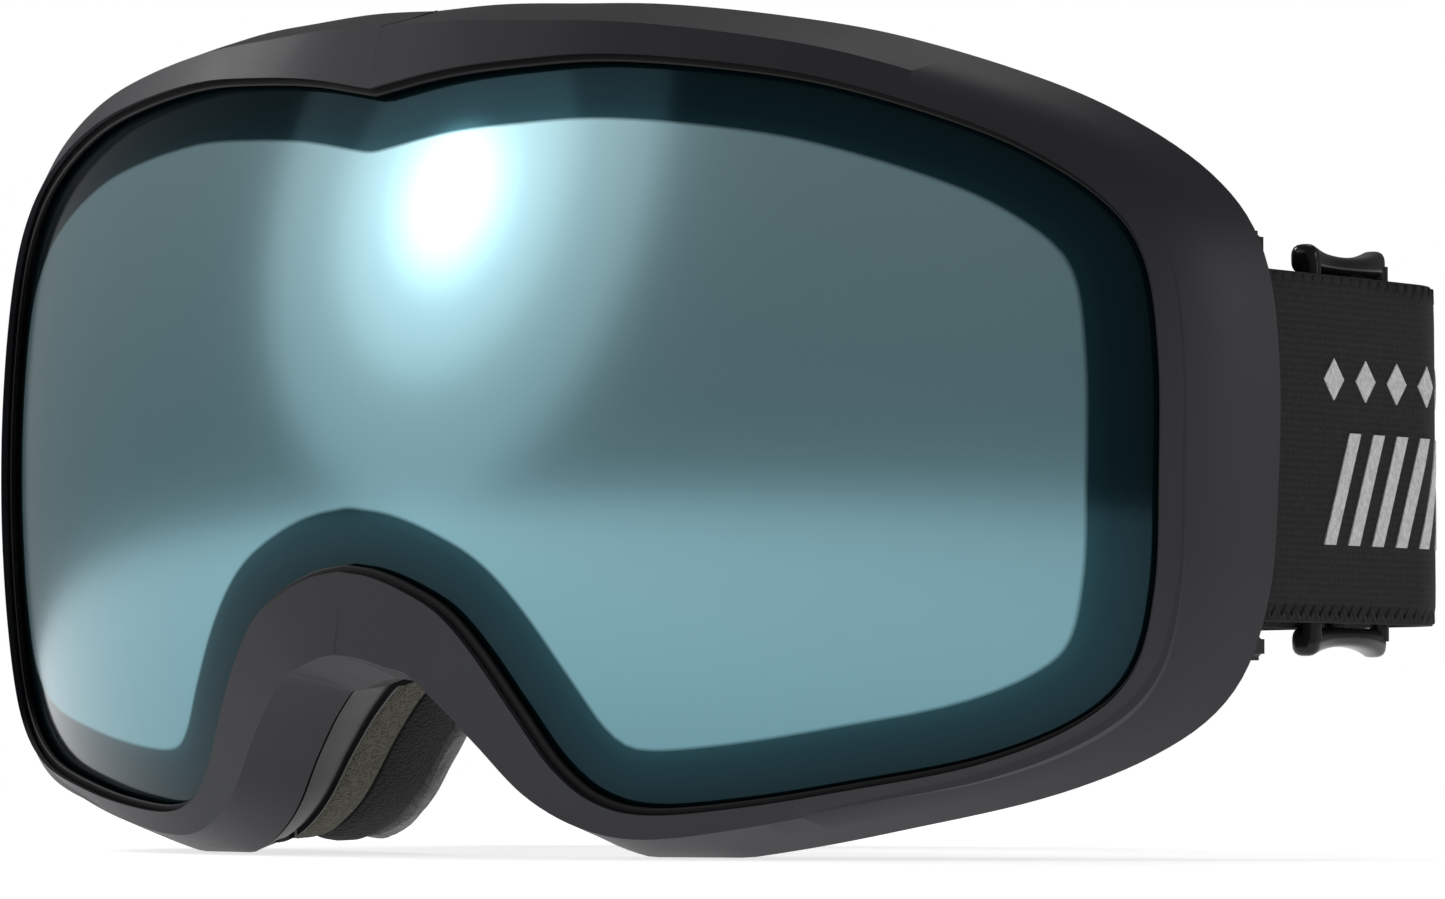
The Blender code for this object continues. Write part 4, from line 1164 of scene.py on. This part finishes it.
def add_camera():
    data = bpy.data.cameras.new("camera")
    data.sensor_width = SENSOR_MM
    data.lens = FOCAL_SHARE * SENSOR_MM
    data.clip_start = 0.01
    data.clip_end = 50.0
    camera = bpy.data.objects.new("camera", data)
    bpy.context.scene.collection.objects.link(camera)
    back = Vector((sin(VIEW_AZIMUTH) * cos(VIEW_ELEVATION),
                   -cos(VIEW_AZIMUTH) * cos(VIEW_ELEVATION), sin(VIEW_ELEVATION)))
    right = Vector((cos(VIEW_AZIMUTH), sin(VIEW_AZIMUTH), 0.0))
    camera.location = LENS_ORIGIN + back * VIEW_DISTANCE
    ahead = -back * cos(OBJECT_LEFT) + right * sin(OBJECT_LEFT)
    look(camera, camera.location + ahead)
    bpy.context.scene.camera = camera
    return camera


def area_light(name, place, target, size, power):
    """A white disc light of this diameter in metres and power in watts."""
    data = bpy.data.lights.new(name, "AREA")
    data.shape = "DISK"
    data.size = size
    data.energy = power
    light = bpy.data.objects.new(name, data)
    bpy.context.scene.collection.objects.link(light)
    light.location = place
    look(light, target)
    return light


def add_floor():
    """A pale disc that glows enough to pass into the white backdrop."""
    bpy.ops.mesh.primitive_circle_add(vertices=96, radius=FLOOR_RADIUS, fill_type="NGON",
                                      location=(0, 0, -FLOOR_DROP))
    floor = bpy.context.object
    floor.name = "studio_floor"
    m = Mat("pale_floor", (0.86, 0.86, 0.86), 1.0, Specular_IOR_Level=0.0,
            Emission_Color=(1.0, 1.0, 1.0, 1.0), Emission_Strength=FLOOR_GLOW)
    m.link(m.ramp(m.noise(3.0), [(0.3, (0.85, 0.85, 0.85)), (0.7, (0.87, 0.87, 0.87))]),
           m.shader.inputs["Base Color"])
    floor.data.materials.append(m.mat)


def add_world():
    """A white backdrop that lights the goggles only softly."""
    world = bpy.data.worlds.new("studio")
    bpy.context.scene.world = world
    world.use_nodes = True
    tree = world.node_tree
    background = tree.nodes["Background"]
    background.inputs["Color"].default_value = (1.0, 1.0, 1.0, 1.0)
    seen = tree.nodes.new("ShaderNodeLightPath").outputs["Is Camera Ray"]
    strength = tree.nodes.new("ShaderNodeMapRange")
    strength.inputs["To Min"].default_value = STUDIO_FILL
    strength.inputs["To Max"].default_value = 1.0
    tree.links.new(seen, strength.inputs["Value"])
    tree.links.new(strength.outputs["Result"], background.inputs["Strength"])


def add_lights(camera):
    """Three studio lights, and three discs that the lens mirrors as one soft glow."""
    middle = LENS_ORIGIN + Vector((0, 0.03, 0))
    area_light("key", Vector((-1.6, -0.05, 1.3)), middle, 0.5, 8.5)
    area_light("top", Vector((-0.2, 0.6, 1.3)), middle, 0.6, 2.0)
    area_light("rim", Vector((1.3, 0.6, 0.4)), middle, 0.5, 2.5)
    glow_at = lens_point(GLOW_X, GLOW_Z)
    outward = Vector((GLOW_X / sqrt(LENS_RADIUS ** 2 - GLOW_X ** 2), -1.0,
                      GLOW_Z / LENS_RADIUS_VERTICAL)).normalized()
    to_eye = (camera.location - glow_at).normalized()
    bounced = outward * (2 * outward.dot(to_eye)) - to_eye
    area_light("lens_glow", glow_at + bounced * 0.6, glow_at, 0.14, 0.20)
    area_light("lens_halo", glow_at + bounced * 0.7, glow_at, 0.40, 0.35)
    area_light("lens_haze", glow_at + bounced * 0.8, glow_at, 0.80, 1.1)


def add_stage(camera):
    add_floor()
    add_world()
    add_lights(camera)
    bpy.context.scene.view_settings.view_transform = "Standard"


build_front()
build_rear()
build_strap()
for hand in (1, -1):
    build_side(hand)
add_stage(add_camera())

bpy.context.view_layer.update()
